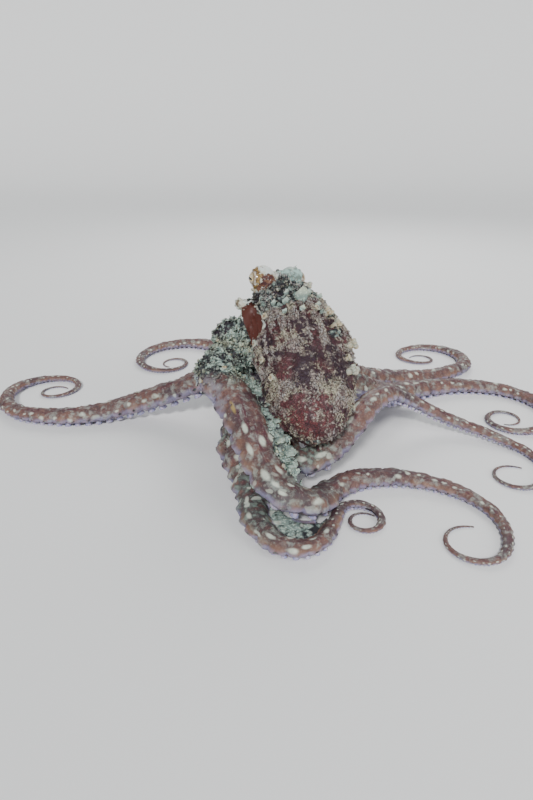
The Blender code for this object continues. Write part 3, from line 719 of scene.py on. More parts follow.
# Which four marks each colour on the meshes holds.
MARK_NAMES = {"marks_body": ("mantle", "mint", "cream", "pale"),
              "marks_arm": ("arm", "under", "edge", "funnel"),
              "marks_more": ("red_end", "moss", "smooth", "none"),
              "marks_fine": ("lumps", "crease", "rust", "plum"),
              "marks_head": ("gold", "ribbed", "mauve", "knob")}


def mark_rows(marks, survey):
    """The markings under the names that the finishes read, one row for each point."""
    rows = {label: np.stack([marks[name] for name in names], axis=1) for label, names in MARK_NAMES.items()}
    rows["arm_way"] = np.stack([survey.beads, survey.around(), survey.s / MM], axis=1)
    return rows


def eye_folds(points, sign):
    """How far the skin by an eye is held back from other relief, and the rings of folds round it."""
    centre = np.array(eye_centre(sign))
    away = np.linalg.norm(points - centre, axis=1)
    out = (points - centre) @ np.array(eye_outward(sign)) / np.maximum(away, 1e-6)
    folds = (0.9 * hump(out, 0.45, 0.09) - 0.5 * hump(out, 0.24, 0.07)
             + 0.55 * hump(out, 0.05, 0.09) - 0.4 * hump(out, -0.14, 0.08))
    return ease(away, 9 * MM, 14 * MM), ease(away, 14 * MM, 11 * MM) * folds


def shape_skin(skin):
    """Ridges and wrinkles in the skin's own surface, deeper on the mantle and the raised shoulder."""
    mesh = skin.data
    points = points_of(mesh)
    normals = normals_of(mesh)
    survey = Survey(points)
    marks = regions(points, survey)
    fine = ripple(points + 3.0, 260, 2)
    off_sole = 1 - 0.85 * marks["under"]
    rough = np.clip(0.25 + marks["mantle"] * 0.6 + marks["mint"] * 0.75 + marks["head"] * 0.3, 0, 1.2)
    rough *= off_sole * (1 - 0.9 * marks["smooth"]) * (1 - 0.95 * marks["funnel"])
    push = (ripple(points, 95, 2) * 1.1 + fine * 0.8) * rough
    push += 3.8 * marks["ribs"]
    cobble = cobbles(points, 175)
    small_cobble = cobbles(points + 5.0, 330)
    rugged = np.clip(marks["mint"] + 0.4 * marks["head"], 0, 1) * (1 - marks["smooth"])
    rugged *= 1 - marks["funnel"]
    rugged *= off_sole * (1 - 0.5 * marks["strip"])
    push += rugged * (2.3 * cobble + 0.8 * small_cobble - 1.4)
    push += marks["pale"] * (0.8 * small_cobble - 0.3)
    shaded = ease(ripple(points + 21.0, 85, 2), -0.02, -0.3)
    # lumps: 1 on the cobbles' tops and 0 in the creases between them, lower on the neck; the mint finish
    # paints its low values near-black, partly as painted shade in the creases.
    lumps = (0.65 * cobble + 0.35 * small_cobble) * (1 - 0.5 * shaded) * (1 - 0.3 * marks["neck"])
    paler = 0.4 * marks["moss"] * (1 - marks["arm"]) + 0.3 * marks["strip"]
    paler = paler + 0.15 * blob(points, (-54, -18, 98), 17)
    marks["lumps"] = np.clip(lumps + paler, 0, 1)
    # The arms' edges draw in at the creases between their lobes, and the finish darkens the colour there as
    # painted shade.
    wave = lobe_wave(survey.beads, survey.across)
    side_way = np.abs(survey.around())
    arm_top = marks["arm"] * (1 - marks["under"])
    marks["crease"] = (np.exp(-(1 + wave) / 0.1) * ease(side_way, 0.3, 0.75) * ease(side_way, 1.35, 1.1)
                       * marks["arm"] * (1 - marks["under"]))
    # The arms' backs: soft folds along them and wrinkles across.
    along, across = (ripple(np.stack([survey.beads * a, survey.around() * b, survey.arm * 7.0], axis=1), 1, n)
                     for a, b, n in ((0.9, 3.2, 3), (5.0, 1.1, 2)))
    big = np.clip(survey.width / (10 * MM), 0.0, 1.2)
    push += arm_top * big * (1.5 * along + 0.9 * across)
    push -= 2.0 * marks["crease"] * big
    push += arm_top * 0.25 * fine * np.clip(survey.width / (8 * MM), 0.2, 1)
    push *= np.where(marks["arm"] > 0.4, np.clip(survey.width / (6 * MM), 0.1, 1), 1)
    for sign in (1, -1):
        held, folds = eye_folds(points, sign)
        push = push * held + folds
    points += normals * (push * MM)[:, None]
    points[:, 2] = np.maximum(points[:, 2], 0.0)
    set_points(mesh, points)
    for label, values in mark_rows(marks, survey).items():
        store(mesh, label, values)
    return survey, marks


# Small forms, each kind one joined mesh.

class Tufts:
    """Copies of one small form set on the skin and joined into a single mesh, with their markings."""

    def __init__(self, form):
        self.points, self.faces, self.tips = np.array(form[0]), form[1], np.array(form[2])
        self.placed = []

    def add(self, place, up, ahead, size, marks_here, tone, spot):
        self.placed.append((place, up, ahead, size, tone, spot, marks_here))

    def build(self, name):
        count = len(self.placed)
        k = len(self.points)
        place, up, ahead, size, tone, spots = (np.array([p[i] for p in self.placed]) for i in range(6))
        up /= np.linalg.norm(up, axis=1)[:, None]
        ahead -= up * dots_of(ahead, up)[:, None]
        ahead /= np.maximum(np.linalg.norm(ahead, axis=1), 1e-9)[:, None]
        side = np.cross(up, ahead)
        shape = self.points[None] * size[:, None, :]
        points = (place[:, None] + side[:, None] * shape[..., 0:1] + ahead[:, None] * shape[..., 1:2]
                  + up[:, None] * shape[..., 2:3]).reshape(-1, 3)
        points[:, 2] = np.maximum(points[:, 2], FLOOR_GAP)
        mesh = bpy.data.meshes.new(name)
        corners = [len(f) for f in self.faces]
        loops = np.concatenate([np.array(f) for f in self.faces])
        all_loops = (loops[None] + k * np.arange(count)[:, None]).ravel()
        starts = np.concatenate([[0], np.cumsum(np.tile(corners, count))[:-1]])
        mesh.vertices.add(len(points))
        mesh.vertices.foreach_set("co", points.astype(np.float32).ravel())
        mesh.loops.add(len(all_loops))
        mesh.loops.foreach_set("vertex_index", all_loops.astype(np.int32))
        mesh.polygons.add(count * len(self.faces))
        mesh.polygons.foreach_set("loop_start", starts.astype(np.int32))
        mesh.update(calc_edges=True)
        mesh.validate()
        for label in LABELS:
            store(mesh, label, np.repeat(np.array([p[6][label] for p in self.placed]), k, axis=0))
        store(mesh, "tip", np.tile(self.tips, count))
        store(mesh, "tone", np.repeat(tone, k))
        uv = mesh.uv_layers.new(name="OFBake")
        flat = self.points[:, :2] / max(np.abs(self.points[:, :2]).max(), 1e-6) * PATCH_HALF
        patch = (spots[:, None] + flat[None]).reshape(-1, 2)
        uv.data.foreach_set("uv", patch[all_loops].astype(np.float32).ravel())
        mesh.shade_smooth()
        return link(name, mesh)


def turned_form(profile, sides):
    """Points, faces and shades of a form turned about Z; profile is (height, radius, shade), root first."""
    bm = bmesh.new()
    shade_of = bm.verts.layers.float.new("shade")
    height, radius, shade = profile[0]
    ring = bmesh.ops.create_circle(bm, segments=sides, radius=radius)["verts"]
    bmesh.ops.translate(bm, verts=ring, vec=(0, 0, height))
    for vert in ring:
        vert[shade_of] = shade
    edges = bm.edges[:]
    for (low, narrow, _), (high, wide, shade) in zip(profile, profile[1:]):
        ring = verts_among(bmesh.ops.extrude_edge_only(bm, edges=edges)["geom"])
        edges = [edge for edge in bm.edges if all(vert in ring for vert in edge.verts)]
        bmesh.ops.scale(bm, verts=ring, vec=(wide / narrow, wide / narrow, 1))
        bmesh.ops.translate(bm, verts=ring, vec=(0, 0, high - low))
        for vert in ring:
            vert[shade_of] = shade
    bmesh.ops.holes_fill(bm, edges=[edge for edge in bm.edges if edge.is_boundary], sides=0)
    return taken_out(bm, shade_of)


def taken_out(bm, shade_of):
    """A small form's points, faces and shades, its faces outward."""
    bmesh.ops.recalc_face_normals(bm, faces=bm.faces)
    bm.verts.index_update()
    points = [tuple(vert.co) for vert in bm.verts]
    faces = [tuple(vert.index for vert in face.verts) for face in bm.faces]
    shades = [vert[shade_of] for vert in bm.verts]
    bm.free()
    return points, faces, shades


def unwrap_spot(point, arm_index, s, around, on_arm):
    """A place on an unwrap of the skin: a strip for each arm, and the body round its own axis."""
    if on_arm:
        return (0.02 + 0.46 * s / 0.5, 0.03 + 0.115 * arm_index + 0.1 * (around / 4 + 0.5))
    away = Vector(point) - Vector((3, -25, 85)) * MM
    turn = math.atan2(away.y, away.x) / (2 * math.pi) + 0.5
    rise = math.atan2(away.z, math.hypot(away.x, away.y)) / math.pi + 0.5
    return (0.52 + 0.45 * turn, 0.03 + 0.94 * rise)


# Finishes. Colours and masks in a node tree are written as sums and products, and each becomes a node.

class Field:
    """A colour, mask or vector socket in a node tree, for writing sums and products with."""

    def __init__(self, socket):
        self.socket = socket
        self.tree = socket.id_data

    def worked(self, operation, a, b=0.5):
        return output_of(self.tree, "ShaderNodeMath", {0: a, 1: b}, operation=operation)

    def __add__(self, other):
        return self.worked("ADD", self, other)

    def __sub__(self, other):
        return self.worked("SUBTRACT", self, other)

    def __rsub__(self, other):
        return self.worked("SUBTRACT", other, self)

    def __mul__(self, other):
        return self.worked("MULTIPLY", self, other)

    def __truediv__(self, other):
        return self.worked("DIVIDE", self, other)

    def __pow__(self, other):
        return self.worked("POWER", self, other)

    def __gt__(self, other):
        return self.worked("GREATER_THAN", self, other)

    def __lt__(self, other):
        return self.worked("LESS_THAN", self, other)

    def __abs__(self):
        return self.worked("ABSOLUTE", self)


def plug(node, inputs):
    """Sets or links a node's sockets."""
    for name, value in inputs.items():
        if isinstance(value, Field):
            node.id_data.links.new(value.socket, node.inputs[name])
        else:
            node.inputs[name].default_value = value


def add(tree, kind, inputs, **settings):
    """The outputs of a new shader node with its settings, and its sockets set or linked."""
    made = tree.nodes.new(kind)
    for name, value in settings.items():
        setattr(made, name, value)
    plug(made, inputs)
    return made.outputs


def output_of(tree, kind, inputs, output=0, **settings):
    return Field(add(tree, kind, inputs, **settings)[output])


def most(a, b):
    """The larger of two masks."""
    return b.worked("MAXIMUM", a, b)


def mixed(factor, a, b):
    return output_of(factor.tree, "ShaderNodeMix", {0: factor, 6: a, 7: b}, 2, data_type="RGBA")


def eased(value, low, high):
    """0 at low and 1 at high, eased; low may be above high."""
    if low > high:
        return 1.0 - eased(value, high, low)
    return output_of(value.tree, "ShaderNodeMapRange", {0: value, 1: low, 2: high},
                     interpolation_type="SMOOTHSTEP")


def spread(value, low, high):
    """Low at 0 and high at 1."""
    return output_of(value.tree, "ShaderNodeMapRange", {0: value, 3: low, 4: high})


def grained(where, scale, detail=3.0, roughness=0.55, output="Fac"):
    return output_of(where.tree, "ShaderNodeTexNoise", {"Vector": where, "Scale": scale, "Detail": detail,
                                                        "Roughness": roughness}, output)


def of_vectors(operation, inputs, output=0):
    return output_of(inputs[0].tree, "ShaderNodeVectorMath", inputs, output, operation=operation)


def stretched(vector, by):
    return of_vectors("MULTIPLY", {0: vector, 1: by})


def length_of(vector):
    return of_vectors("LENGTH", {0: vector}, "Value")


def bumped(height, strength, distance):
    return output_of(height.tree, "ShaderNodeBump", {"Height": height, "Strength": strength,
                                                     "Distance": distance}, "Normal")


def own_place(tree):
    return output_of(tree, "ShaderNodeTexCoord", {}, "Object")


def kept(tree, name, output="Fac"):
    """What the mesh keeps for its vertices under a name."""
    return output_of(tree, "ShaderNodeAttribute", {}, output, attribute_type="GEOMETRY", attribute_name=name)


def parts_of(colour):
    return [Field(part) for part in add(colour.tree, "ShaderNodeSeparateColor", {0: colour})]


def axes_of(vector):
    return [Field(part) for part in add(vector.tree, "ShaderNodeSeparateXYZ", {0: vector})]


def four_marks(tree, name):
    return parts_of(kept(tree, name, "Color")) + [kept(tree, name, "Alpha")]


def rgb(red, green, blue):
    return (red, green, blue, 1.0)


MAROON_DARK = rgb(0.036, 0.018, 0.029)
MAROON = rgb(0.115, 0.036, 0.041)
MAROON_RED = rgb(0.165, 0.036, 0.038)
BEIGE = rgb(0.36, 0.32, 0.27)
STRAW = rgb(0.47, 0.43, 0.31)
ROSE_GREY = rgb(0.30, 0.22, 0.22)
CELL_LINE = rgb(0.040, 0.020, 0.020)
MINT = rgb(0.22, 0.29, 0.26)
# near-black: partly the dark skin of the mint patches, partly painted shade in their creases
MINT_DARK_AND_CREASE_SHADE = rgb(0.029, 0.030, 0.034)
PALE_MINT = rgb(0.51, 0.62, 0.53)
PLUM = rgb(0.030, 0.020, 0.030)
ARM_RED = rgb(0.180, 0.092, 0.074)
ARM_DARK = rgb(0.072, 0.043, 0.048)
ARM_GREY = rgb(0.300, 0.315, 0.285)
ARM_STREAK = rgb(0.095, 0.032, 0.042)
ARM_TAN = rgb(0.27, 0.145, 0.085)
MOSS = rgb(0.190, 0.240, 0.205)
MOSS_DEEP = rgb(0.055, 0.066, 0.062)
MAUVE = rgb(0.23, 0.20, 0.23)
OCHRE = rgb(0.40, 0.29, 0.09)
SPOT = rgb(0.60, 0.64, 0.54)
LAVENDER = rgb(0.32, 0.31, 0.50)
LAVENDER_DEEP = rgb(0.26, 0.20, 0.25)
HEAD_MINT = rgb(0.38, 0.54, 0.49)
HEAD_MINT_DEEP = rgb(0.15, 0.20, 0.175)
HEAD_PALE = rgb(0.50, 0.58, 0.51)
CREAM = rgb(0.55, 0.54, 0.44)
MILKY = rgb(0.64, 0.68, 0.65)
GOLD = rgb(0.40, 0.26, 0.09)
GOLD_DEEP = rgb(0.13, 0.07, 0.03)
RUST = rgb(0.20, 0.092, 0.052)
RUST_DEEP = rgb(0.070, 0.022, 0.022)
KNOB_BROWN = rgb(0.16, 0.12, 0.08)
FUNNEL_RED = rgb(0.088, 0.021, 0.013)
FUNNEL_DEEP = rgb(0.085, 0.022, 0.015)

# Spots that stand out from behind, on each arm: mm along it, the way round it, half length and width in mm.
PLAIN_SPOTS = {
    "left_3": [(132, 0.3, 4.0, 1.9), (144, -0.12, 3.6, 2.4), (141, -0.5, 3.2, 2.0), (147, 0.42, 4.4, 1.8),
               (166, 0.38, 3.8, 2.2), (166, -0.2, 3.6, 1.8), (173, 0.35, 2.0, 1.4), (178, 0.5, 2.0, 1.3),
               (179, 0.05, 2.2, 1.4), (114, 0.75, 2.0, 1.3)],
    "right_4": [(152, -0.25, 3.8, 1.7), (136, 0.1, 4.8, 2.0), (120, -0.3, 5.0, 2.0), (101, -0.2, 4.6, 2.4),
                (104, 0.45, 4.4, 2.0), (91, 0.5, 3.2, 2.0)],
    "left_4": [(138, 0.3, 3.0, 1.5), (153, 0.4, 3.0, 1.6), (168, 0.6, 3.0, 1.2), (176, 0.3, 3.8, 1.4),
               (187, -0.2, 2.6, 1.3), (190, 0.7, 3.0, 1.7), (197, 0.5, 2.6, 1.3), (203, 0.0, 3.2, 1.2),
               (215, 0.2, 3.0, 1.4)],
}
# A narrow ochre streak among them.
OCHRE_STREAK = {"left_3": [(113, 0.42, 6.0, 1.3)]}


def plain_spots(way, listed):
    """The spots of a list, as one mask, and the stretches of arm that they leave to no others."""
    mask = 0.0
    stretches = 0.0
    for name, spots in listed.items():
        arm = arms[name]

        def beads_at(s):
            return ARM_BEADS * list(arms).index(name) + float(arm.at(arm.beads, s * MM))

        along = axes_of(way)[0]
        start = beads_at(min(spot[0] for spot in spots) - 32)
        end = beads_at(max(spot[0] for spot in spots) + 8)
        stretches = most(stretches, (along > start) * (along < end))
        for s, around, half_length, half_width in spots:
            width = float(arm.at(arm.width, s * MM))
            away = of_vectors("SUBTRACT", {0: way, 1: (beads_at(s), around, 0.0)})
            shares = stretched(away, (1 / (half_length * beads_per_mm(width)),
                                      width * 1.45 / (half_width * MM), 0.0))
            mask = most(mask, eased(length_of(shares), 1.3, 0.5))
    return mask, stretches


def rows_of_spots(bead, around, uneven):
    """Soft oval spots in two loose rows along an arm, uneven in size, some of them missing."""
    tree = bead.tree
    wobble = (uneven - 0.5) * 0.25
    place = output_of(tree, "ShaderNodeCombineXYZ", {0: bead * 1.15 + wobble, 1: around + wobble})
    cells = add(tree, "ShaderNodeTexVoronoi", {"Vector": place, "Scale": 1.0, "Randomness": 0.55},
                voronoi_dimensions="2D")
    away = of_vectors("SUBTRACT", {0: place, 1: Field(cells["Position"])})
    far = length_of(stretched(away, (0.85, 1.55, 0.0)))
    luck = parts_of(Field(cells["Color"]))
    spot = eased(far / spread(luck[0], 0.12, 0.25), 1.25, 0.35)
    return spot * (luck[1] > 0.12) * eased(abs(around), 1.1, 0.9)


def octopus_markings():
    """The animal's colours and relief, read from the markings kept on its meshes."""
    group = bpy.data.node_groups.new("octopus markings", "ShaderNodeTree")
    for name, kind in (("Colour", "NodeSocketColor"), ("Height", "NodeSocketFloat"),
                       ("Roughness", "NodeSocketFloat")):
        group.interface.new_socket(name=name, in_out="OUTPUT", socket_type=kind)
    on_mantle, on_mint, on_cream, pale = four_marks(group, "marks_body")
    on_arm, under, edge, funnel = four_marks(group, "marks_arm")
    red_end, moss, smooth, _ = four_marks(group, "marks_more")
    lumps, crease, rust, plum = four_marks(group, "marks_fine")
    gilt, ribbed, mauve, knob = four_marks(group, "marks_head")
    way = kept(group, "arm_way", "Vector")
    bead, around, _ = axes_of(way)
    place = own_place(group)
    large = grained(place, 48)
    middle = grained(place, 170, 4)
    fine = grained(place, 620)
    patchy = grained(place, 210)

    # The mantle: dark maroon in blotches, redder at its end, breaking into small pale cells where it pales.
    maroon = mixed(eased(large, 0.40, 0.60), MAROON_DARK, MAROON)
    maroon = mixed(red_end * eased(middle, 0.35, 0.6), maroon, MAROON_RED)
    turned = output_of(group, "ShaderNodeVectorRotate", {"Vector": place, "Angle": MANTLE_SLOPE},
                       rotation_type="X_AXIS")
    drawn = stretched(turned, (1.15, 0.62, 1.15))
    warped = output_of(group, "ShaderNodeMix", {
        0: 0.010, 4: drawn, 5: grained(drawn, 150, 2, 0.5, "Color")}, 1, data_type="VECTOR")
    streaky = output_of(group, "ShaderNodeMix", {
        0: ribbed, 2: grained(drawn, 190, 4), 3: grained(stretched(drawn, (1.25, 0.30, 1.25)), 210)})
    cells = {"Vector": warped, "Scale": 430.0}
    lines = eased(output_of(group, "ShaderNodeTexVoronoi", cells, "Distance", feature="DISTANCE_TO_EDGE"),
                  0.16, 0.04)
    luck = parts_of(output_of(group, "ShaderNodeTexVoronoi", cells, "Color"))
    paler = pale * 0.80 + (streaky - 0.49) * 3.2 + (luck[0] - 0.5) * 0.8
    cell = mixed(luck[1] * 0.5, mixed(eased(grained(place, 60), 0.46, 0.58), BEIGE, STRAW), ROSE_GREY)
    mantle = mixed(eased(paler, 0.16, 0.80) * 0.9, maroon, cell)
    mantle = mixed(lines * 0.7, mantle, CELL_LINE)

    # The mint-grey of the shoulder, the neck and the web, over plum; its dark is near-black, in low patches
    # of the middle grain and, as painted shade, in the creases between the cobbles.
    speck = eased(middle, 0.44, 0.60)
    tops = mixed(eased(fine, 0.50, 0.64), MINT, PALE_MINT)
    mint = mixed(eased(lumps * 0.55 + middle * 0.9, 0.59, 0.82), MINT_DARK_AND_CREASE_SHADE, tops)
    mint = mixed(eased(large + lumps * 0.14, 0.49, 0.40), mint, PLUM)

    # The arms: red-brown with grey mottling and dark streaks, rows of pale spots, lavender edges, and painted
    # shade in the creases between their lobes.
    streaks = grained(stretched(way, (0.8, 5.0, 0.0)), 1.0, 4)
    own_spots, stretches = plain_spots(way, PLAIN_SPOTS)
    ochre, _ = plain_spots(way, OCHRE_STREAK)
    spots = most(rows_of_spots(bead, around, middle) * (1.0 - stretches), own_spots)
    limb = mixed(eased(large, 0.38, 0.60), ARM_DARK, ARM_RED)
    for mask, colour in (
            (eased(middle, 0.49, 0.63) * 0.8, ARM_GREY),
            (eased(streaks, 0.46, 0.62) * eased(abs(around), 0.75, 0.15), ARM_STREAK),
            (moss * eased(middle, 0.30, 0.55), mixed(speck, MOSS_DEEP, MOSS)),
            (eased(fine, 0.54, 0.68) * 0.32, BEIGE),
            (eased(grained(place, 330), 0.52, 0.42) * 0.40, ARM_DARK),
            (eased(fine, 0.46, 0.34) * 0.4, ARM_DARK),
            (mauve * eased(middle, 0.36, 0.54) * 0.85, MAUVE),
            (ochre * 0.7, OCHRE),
            (eased(abs(around), 0.40, 0.85) * eased(grained(place, 75), 0.42, 0.62) * 0.6, ARM_TAN),
            (spots * 0.85, SPOT),
            # painted shade: the creases between the lobes darkened
            (crease * 0.6, ARM_DARK),
            (edge * 0.75, LAVENDER),
            (under, mixed(speck, LAVENDER_DEEP, LAVENDER))):
        limb = mixed(mask, limb, colour)

    # The eye bulges: mint on the right, cream patched with gold, rust and dark brown on the left.
    bulge = mixed(eased(middle, 0.42, 0.60), HEAD_MINT_DEEP, HEAD_MINT)
    bulge = mixed(eased(patchy, 0.52, 0.62) * 0.7, bulge, HEAD_PALE)
    stripe = grained(stretched(place, (1.0, 1.0, 3.0)), 130)
    cream = mixed(eased(middle, 0.40, 0.56), CREAM, MILKY)
    cream = mixed(eased(gilt * 0.36 + patchy, 0.72, 0.80), cream,
                  mixed(eased(fine, 0.4, 0.6), GOLD_DEEP, GOLD))
    cream = mixed(eased(rust + (patchy - 0.5) * 2.4, 0.58, 0.76), cream,
                  mixed(eased(stripe, 0.44, 0.56), RUST_DEEP, RUST))

    # Each region laid over the last, its edge broken up by the middle grain.
    nudge = (middle - 0.5) * 0.9
    skin_colour = mint
    for mask, colour in (
            (eased(on_arm + nudge, 0.35, 0.65), limb),
            (moss * eased(grained(place, 120, 1), 0.60, 0.66) * 0.75, SPOT),
            (eased(on_mantle + nudge, 0.35, 0.65), mantle),
            (eased(on_mint + nudge, 0.40, 0.75), mint),
            (eased(smooth, 0.3, 0.7), bulge),
            (eased(on_cream + nudge * 0.5, 0.3, 0.7), cream),
            (knob * eased(patchy, 0.50, 0.60), KNOB_BROWN),
            (eased(plum + nudge, 0.35, 0.75), PLUM),
            (eased(funnel, 0.3, 0.7), mixed(eased(large, 0.4, 0.6), FUNNEL_DEEP, FUNNEL_RED))):
        skin_colour = mixed(mask, skin_colour, colour)
    calm = most(most(funnel, under), smooth * 0.6)
    relief = middle + fine * 0.4 + streaks * 0.5 - lines * on_mantle * 0.5
    relief = relief * (1.0 - calm) + spots * 0.15
    plug(group.nodes.new("NodeGroupOutput"), {"Colour": skin_colour, "Height": relief,
                                              "Roughness": spread(fine, 0.45, 0.70)})
    return group


MARKINGS = octopus_markings()


def new_finish(name):
    """A material and its node tree."""
    made = bpy.data.materials.new(name)
    made.use_nodes = True
    return made, made.node_tree


def set_surface(tree, values):
    plug(tree.nodes["Principled BSDF"], values)


def wet_skin(name, small=False):
    """Skin with the animal's markings; on small forms the tips pale to mint, or to beige on the mantle."""
    made, tree = new_finish(name)
    marks = tree.nodes.new("ShaderNodeGroup")
    marks.node_tree = MARKINGS
    colour = Field(marks.outputs["Colour"])
    if small:
        place = own_place(tree)
        on_mantle = parts_of(kept(tree, "marks_body", "Color"))[0]
        warm = mixed(eased(grained(place, 60), 0.45, 0.6), rgb(0.44, 0.41, 0.39), rgb(0.52, 0.49, 0.38))
        cool = mixed(eased(grained(place, 45), 0.48, 0.60), rgb(0.55, 0.65, 0.55), rgb(0.60, 0.62, 0.44))
        colour = mixed(eased(kept(tree, "tip"), 0.1, 0.8) * kept(tree, "tone"), colour,
                       mixed(on_mantle, cool, warm))
    set_surface(tree, {"Base Color": colour, "Roughness": Field(marks.outputs["Roughness"]),
                       "Normal": bumped(Field(marks.outputs["Height"]), 0.8, 0.0012),
                       "Subsurface Weight": 0.08, "Subsurface Radius": (1.0, 0.35, 0.2),
                       "Subsurface Scale": 0.002, "Specular IOR Level": 0.35, "Coat Weight": 0.08,
                       "Coat Roughness": 0.3})
    return made


def sucker_finish():
    """Pale lavender rims round a warmer, darker cup."""
    made, tree = new_finish("sucker flesh")
    place = own_place(tree)
    rim = mixed(eased(grained(place, 300), 0.4, 0.6), LAVENDER, rgb(0.52, 0.47, 0.60))
    set_surface(tree, {"Base Color": mixed(eased(kept(tree, "tip"), 0.55, 1.0), rim, rgb(0.60, 0.50, 0.46)),
                       "Roughness": 0.38, "Subsurface Weight": 0.12, "Subsurface Scale": 0.002,
                       "Normal": bumped(grained(place, 1500), 0.3, 0.0004)})
    return made


def knob_finish():
    """Straw and pale green beads, mottled, about a brown middle."""
    made, tree = new_finish("knob skin")
    place = own_place(tree)
    fine = grained(place, 900)
    bead = mixed(eased(grained(place, 130), 0.42, 0.58), rgb(0.36, 0.39, 0.32), rgb(0.48, 0.39, 0.24))
    bead = mixed(eased(fine, 0.45, 0.65), bead, rgb(0.56, 0.54, 0.44))
    set_surface(tree, {"Base Color": mixed(eased(kept(tree, "tip"), 0.05, 0.8), rgb(0.21, 0.13, 0.07), bead),
                       "Roughness": 0.55, "Subsurface Weight": 0.08, "Subsurface Scale": 0.002,
                       "Normal": bumped(fine, 0.5, 0.0006)})
    return made


def eye_finish():
    """A gold and cream iris with fine radial flecks, a dark slit pupil and a darker rim."""
    made, tree = new_finish("eye")
    gaze = kept(tree, "gaze", "Vector")
    side, rise, out = axes_of(gaze)
    iris = mixed(eased(grained(gaze, 7, 5, 0.7), 0.40, 0.62), rgb(0.45, 0.30, 0.10), rgb(0.66, 0.63, 0.52))
    iris = mixed(eased(out, 0.84, 0.70), iris, rgb(0.24, 0.17, 0.09))
    white = mixed(eased(grained(own_place(tree), 260), 0.42, 0.6), rgb(0.55, 0.50, 0.42),
                  rgb(0.22, 0.13, 0.09))
    across = side / PUPIL_HALF_LENGTH
    height = (rise - side * side * -PUPIL_DIP) / PUPIL_HALF_HEIGHT
    away = abs(across) ** 4.0 + abs(height) ** 2.0
    front = eased(out, 0.2, 0.4)
    colour = mixed(eased(out, 0.68, 0.60), iris, white)
    colour = mixed(eased(away, 2.4, 1.2) * front, colour, rgb(0.80, 0.60, 0.26))
    colour = mixed(eased(away, 1.12, 0.88) * front, colour, rgb(0.006, 0.005, 0.006))
    set_surface(tree, {"Base Color": colour, "Roughness": 0.12, "Coat Weight": 0.6, "Coat Roughness": 0.04})
    return made


def floor_finish():
    made, tree = new_finish("pale floor")
    set_surface(tree, {"Base Color": rgb(0.86, 0.86, 0.85), "Roughness": 0.8})
    return made


# Setting it together.

draw = random.Random(20)
noise.seed_set(20)                   # else the noise follows the clock, and no two runs are alike
skin = join_arms(body_core())
skin.data.shade_smooth()
survey, marks = shape_skin(skin)


class SkinSampler:
    """Seeded random places on the skin, as thick on the ground as a weight says."""

    def __init__(self, obj):
        mesh = obj.data
        mesh.calc_loop_triangles()
        flat = np.empty(len(mesh.loop_triangles) * 3, dtype=np.int32)
        mesh.loop_triangles.foreach_get("vertices", flat)
        self.tris = flat.reshape(-1, 3)
        self.points = points_of(mesh)
        self.normals = normals_of(mesh)
        a, b, c = (self.points[self.tris[:, i]] for i in range(3))
        self.area = np.linalg.norm(np.cross(b - a, c - a), axis=1) / 2
        self.random = np.random.default_rng(11)

    def scatter(self, weight, count):
        """(row of the nearest corner, place, normal) for each of count places."""
        share = self.area * weight[self.tris].mean(axis=1)
        picked = self.random.choice(len(self.tris), count, p=share / share.sum())
        mix = self.random.dirichlet((1, 1, 1), count)
        corners = self.tris[picked]
        places = (self.points[corners] * mix[:, :, None]).sum(axis=1)
        normals = (self.normals[corners] * mix[:, :, None]).sum(axis=1)
        return corners[np.arange(count), mix.argmax(axis=1)], places, normals


MARK_ROWS = mark_rows(marks, survey)
LABELS = tuple(MARK_ROWS)
AROUND = survey.around()
sampler = SkinSampler(skin)
skin_finder = finder(sampler.points)
eyes_clear = np.ones(len(sampler.points))
for sign in (1, -1):
    from_eye = np.linalg.norm(sampler.points - np.array(eye_centre(sign)), axis=1)
    eyes_clear *= ease(from_eye, 9.5 * MM, 12.5 * MM)
DOWN_BODY = Vector((0.1, -0.75, -0.65))
dry = (1 - marks["funnel"]) * (1 - marks["under"]) * eyes_clear * ease(sampler.points[:, 2], 5 * MM, 12 * MM)


def marks_at(row):
    return {label: MARK_ROWS[label][row] for label in LABELS}


def spot_at(row, place):
    return unwrap_spot(place, survey.arm[row], survey.s[row], AROUND[row], marks["arm"][row] > 0.5)


def flecks_over(weight, count, offset):
    """Scattered places as (row, place, normal, how patchy the skin is there)."""
    rows, places, normals = sampler.scatter(weight, count)
    return zip(rows, places, normals, 0.5 + 0.8 * ripple(places + offset, 140, 2))


def pallor_at(row):
    return max(marks["pale"][row], marks["mint"][row] * (0.1 + 0.9 * marks["lumps"][row]))


def tone_of(row, tone):
    return min(max(tone, 0), 1) * (1 - 0.85 * marks["plum"][row])


def leaf_form():
    """A blunt leaf, three-sided and flattened."""
    points, faces, shades = turned_form([(-0.25, 0.36, 0.0), (0.42, 0.64, 0.5), (0.93, 0.37, 1.0)], 3)
    return [(x, 0.4 * y + 0.13, height) for x, y, height in points], faces, shades


# Large flaps that stand off the skin: on the mantle by share of its length and degrees, on left_3 by mm along
# it; then height in mm.
MANTLE_FLAPS = [(0.19, 88, 10.5), (0.13, 70, 5.5), (0.24, 70, 5.0), (0.18, 112, 5.5), (0.27, 96, 4.5),
                (0.12, 104, 4.5), (0.16, 128, 4.5), (0.25, 118, 4.0), (0.14, 54, 4.5)]
STRIP_FLAPS = [(92, 5.0), (110, 4.5), (124, 6.5), (140, 8.0), (150, 9.5), (160, 7.0)]


def flap_form():
    """A fleshy flap, widest below its middle, with an uneven rim and a tip that curls outward."""
    profile = [(-0.25, 0.50, 0.0), (0.08, 0.82, 0.1), (0.28, 1.02, 0.3), (0.42, 1.08, 0.5), (0.62, 0.72, 0.7),
               (0.80, 0.40, 0.85), (0.97, 0.10, 1.0)]
    points, faces, tips = turned_form(profile, 12)
    shaped = []
    for x, y, height in points:
        rim = 1 + draw.uniform(-0.16, 0.16) * (abs(x) > 0.3)
        fold = 0.35 * max(height, 0) ** 2 + 0.10 * math.cos(x * 9)
        shaped.append((x * rim, y * 0.22 + fold, height + 0.22 * x * height + draw.uniform(-0.05, 0.05)))
    return shaped, faces, tips


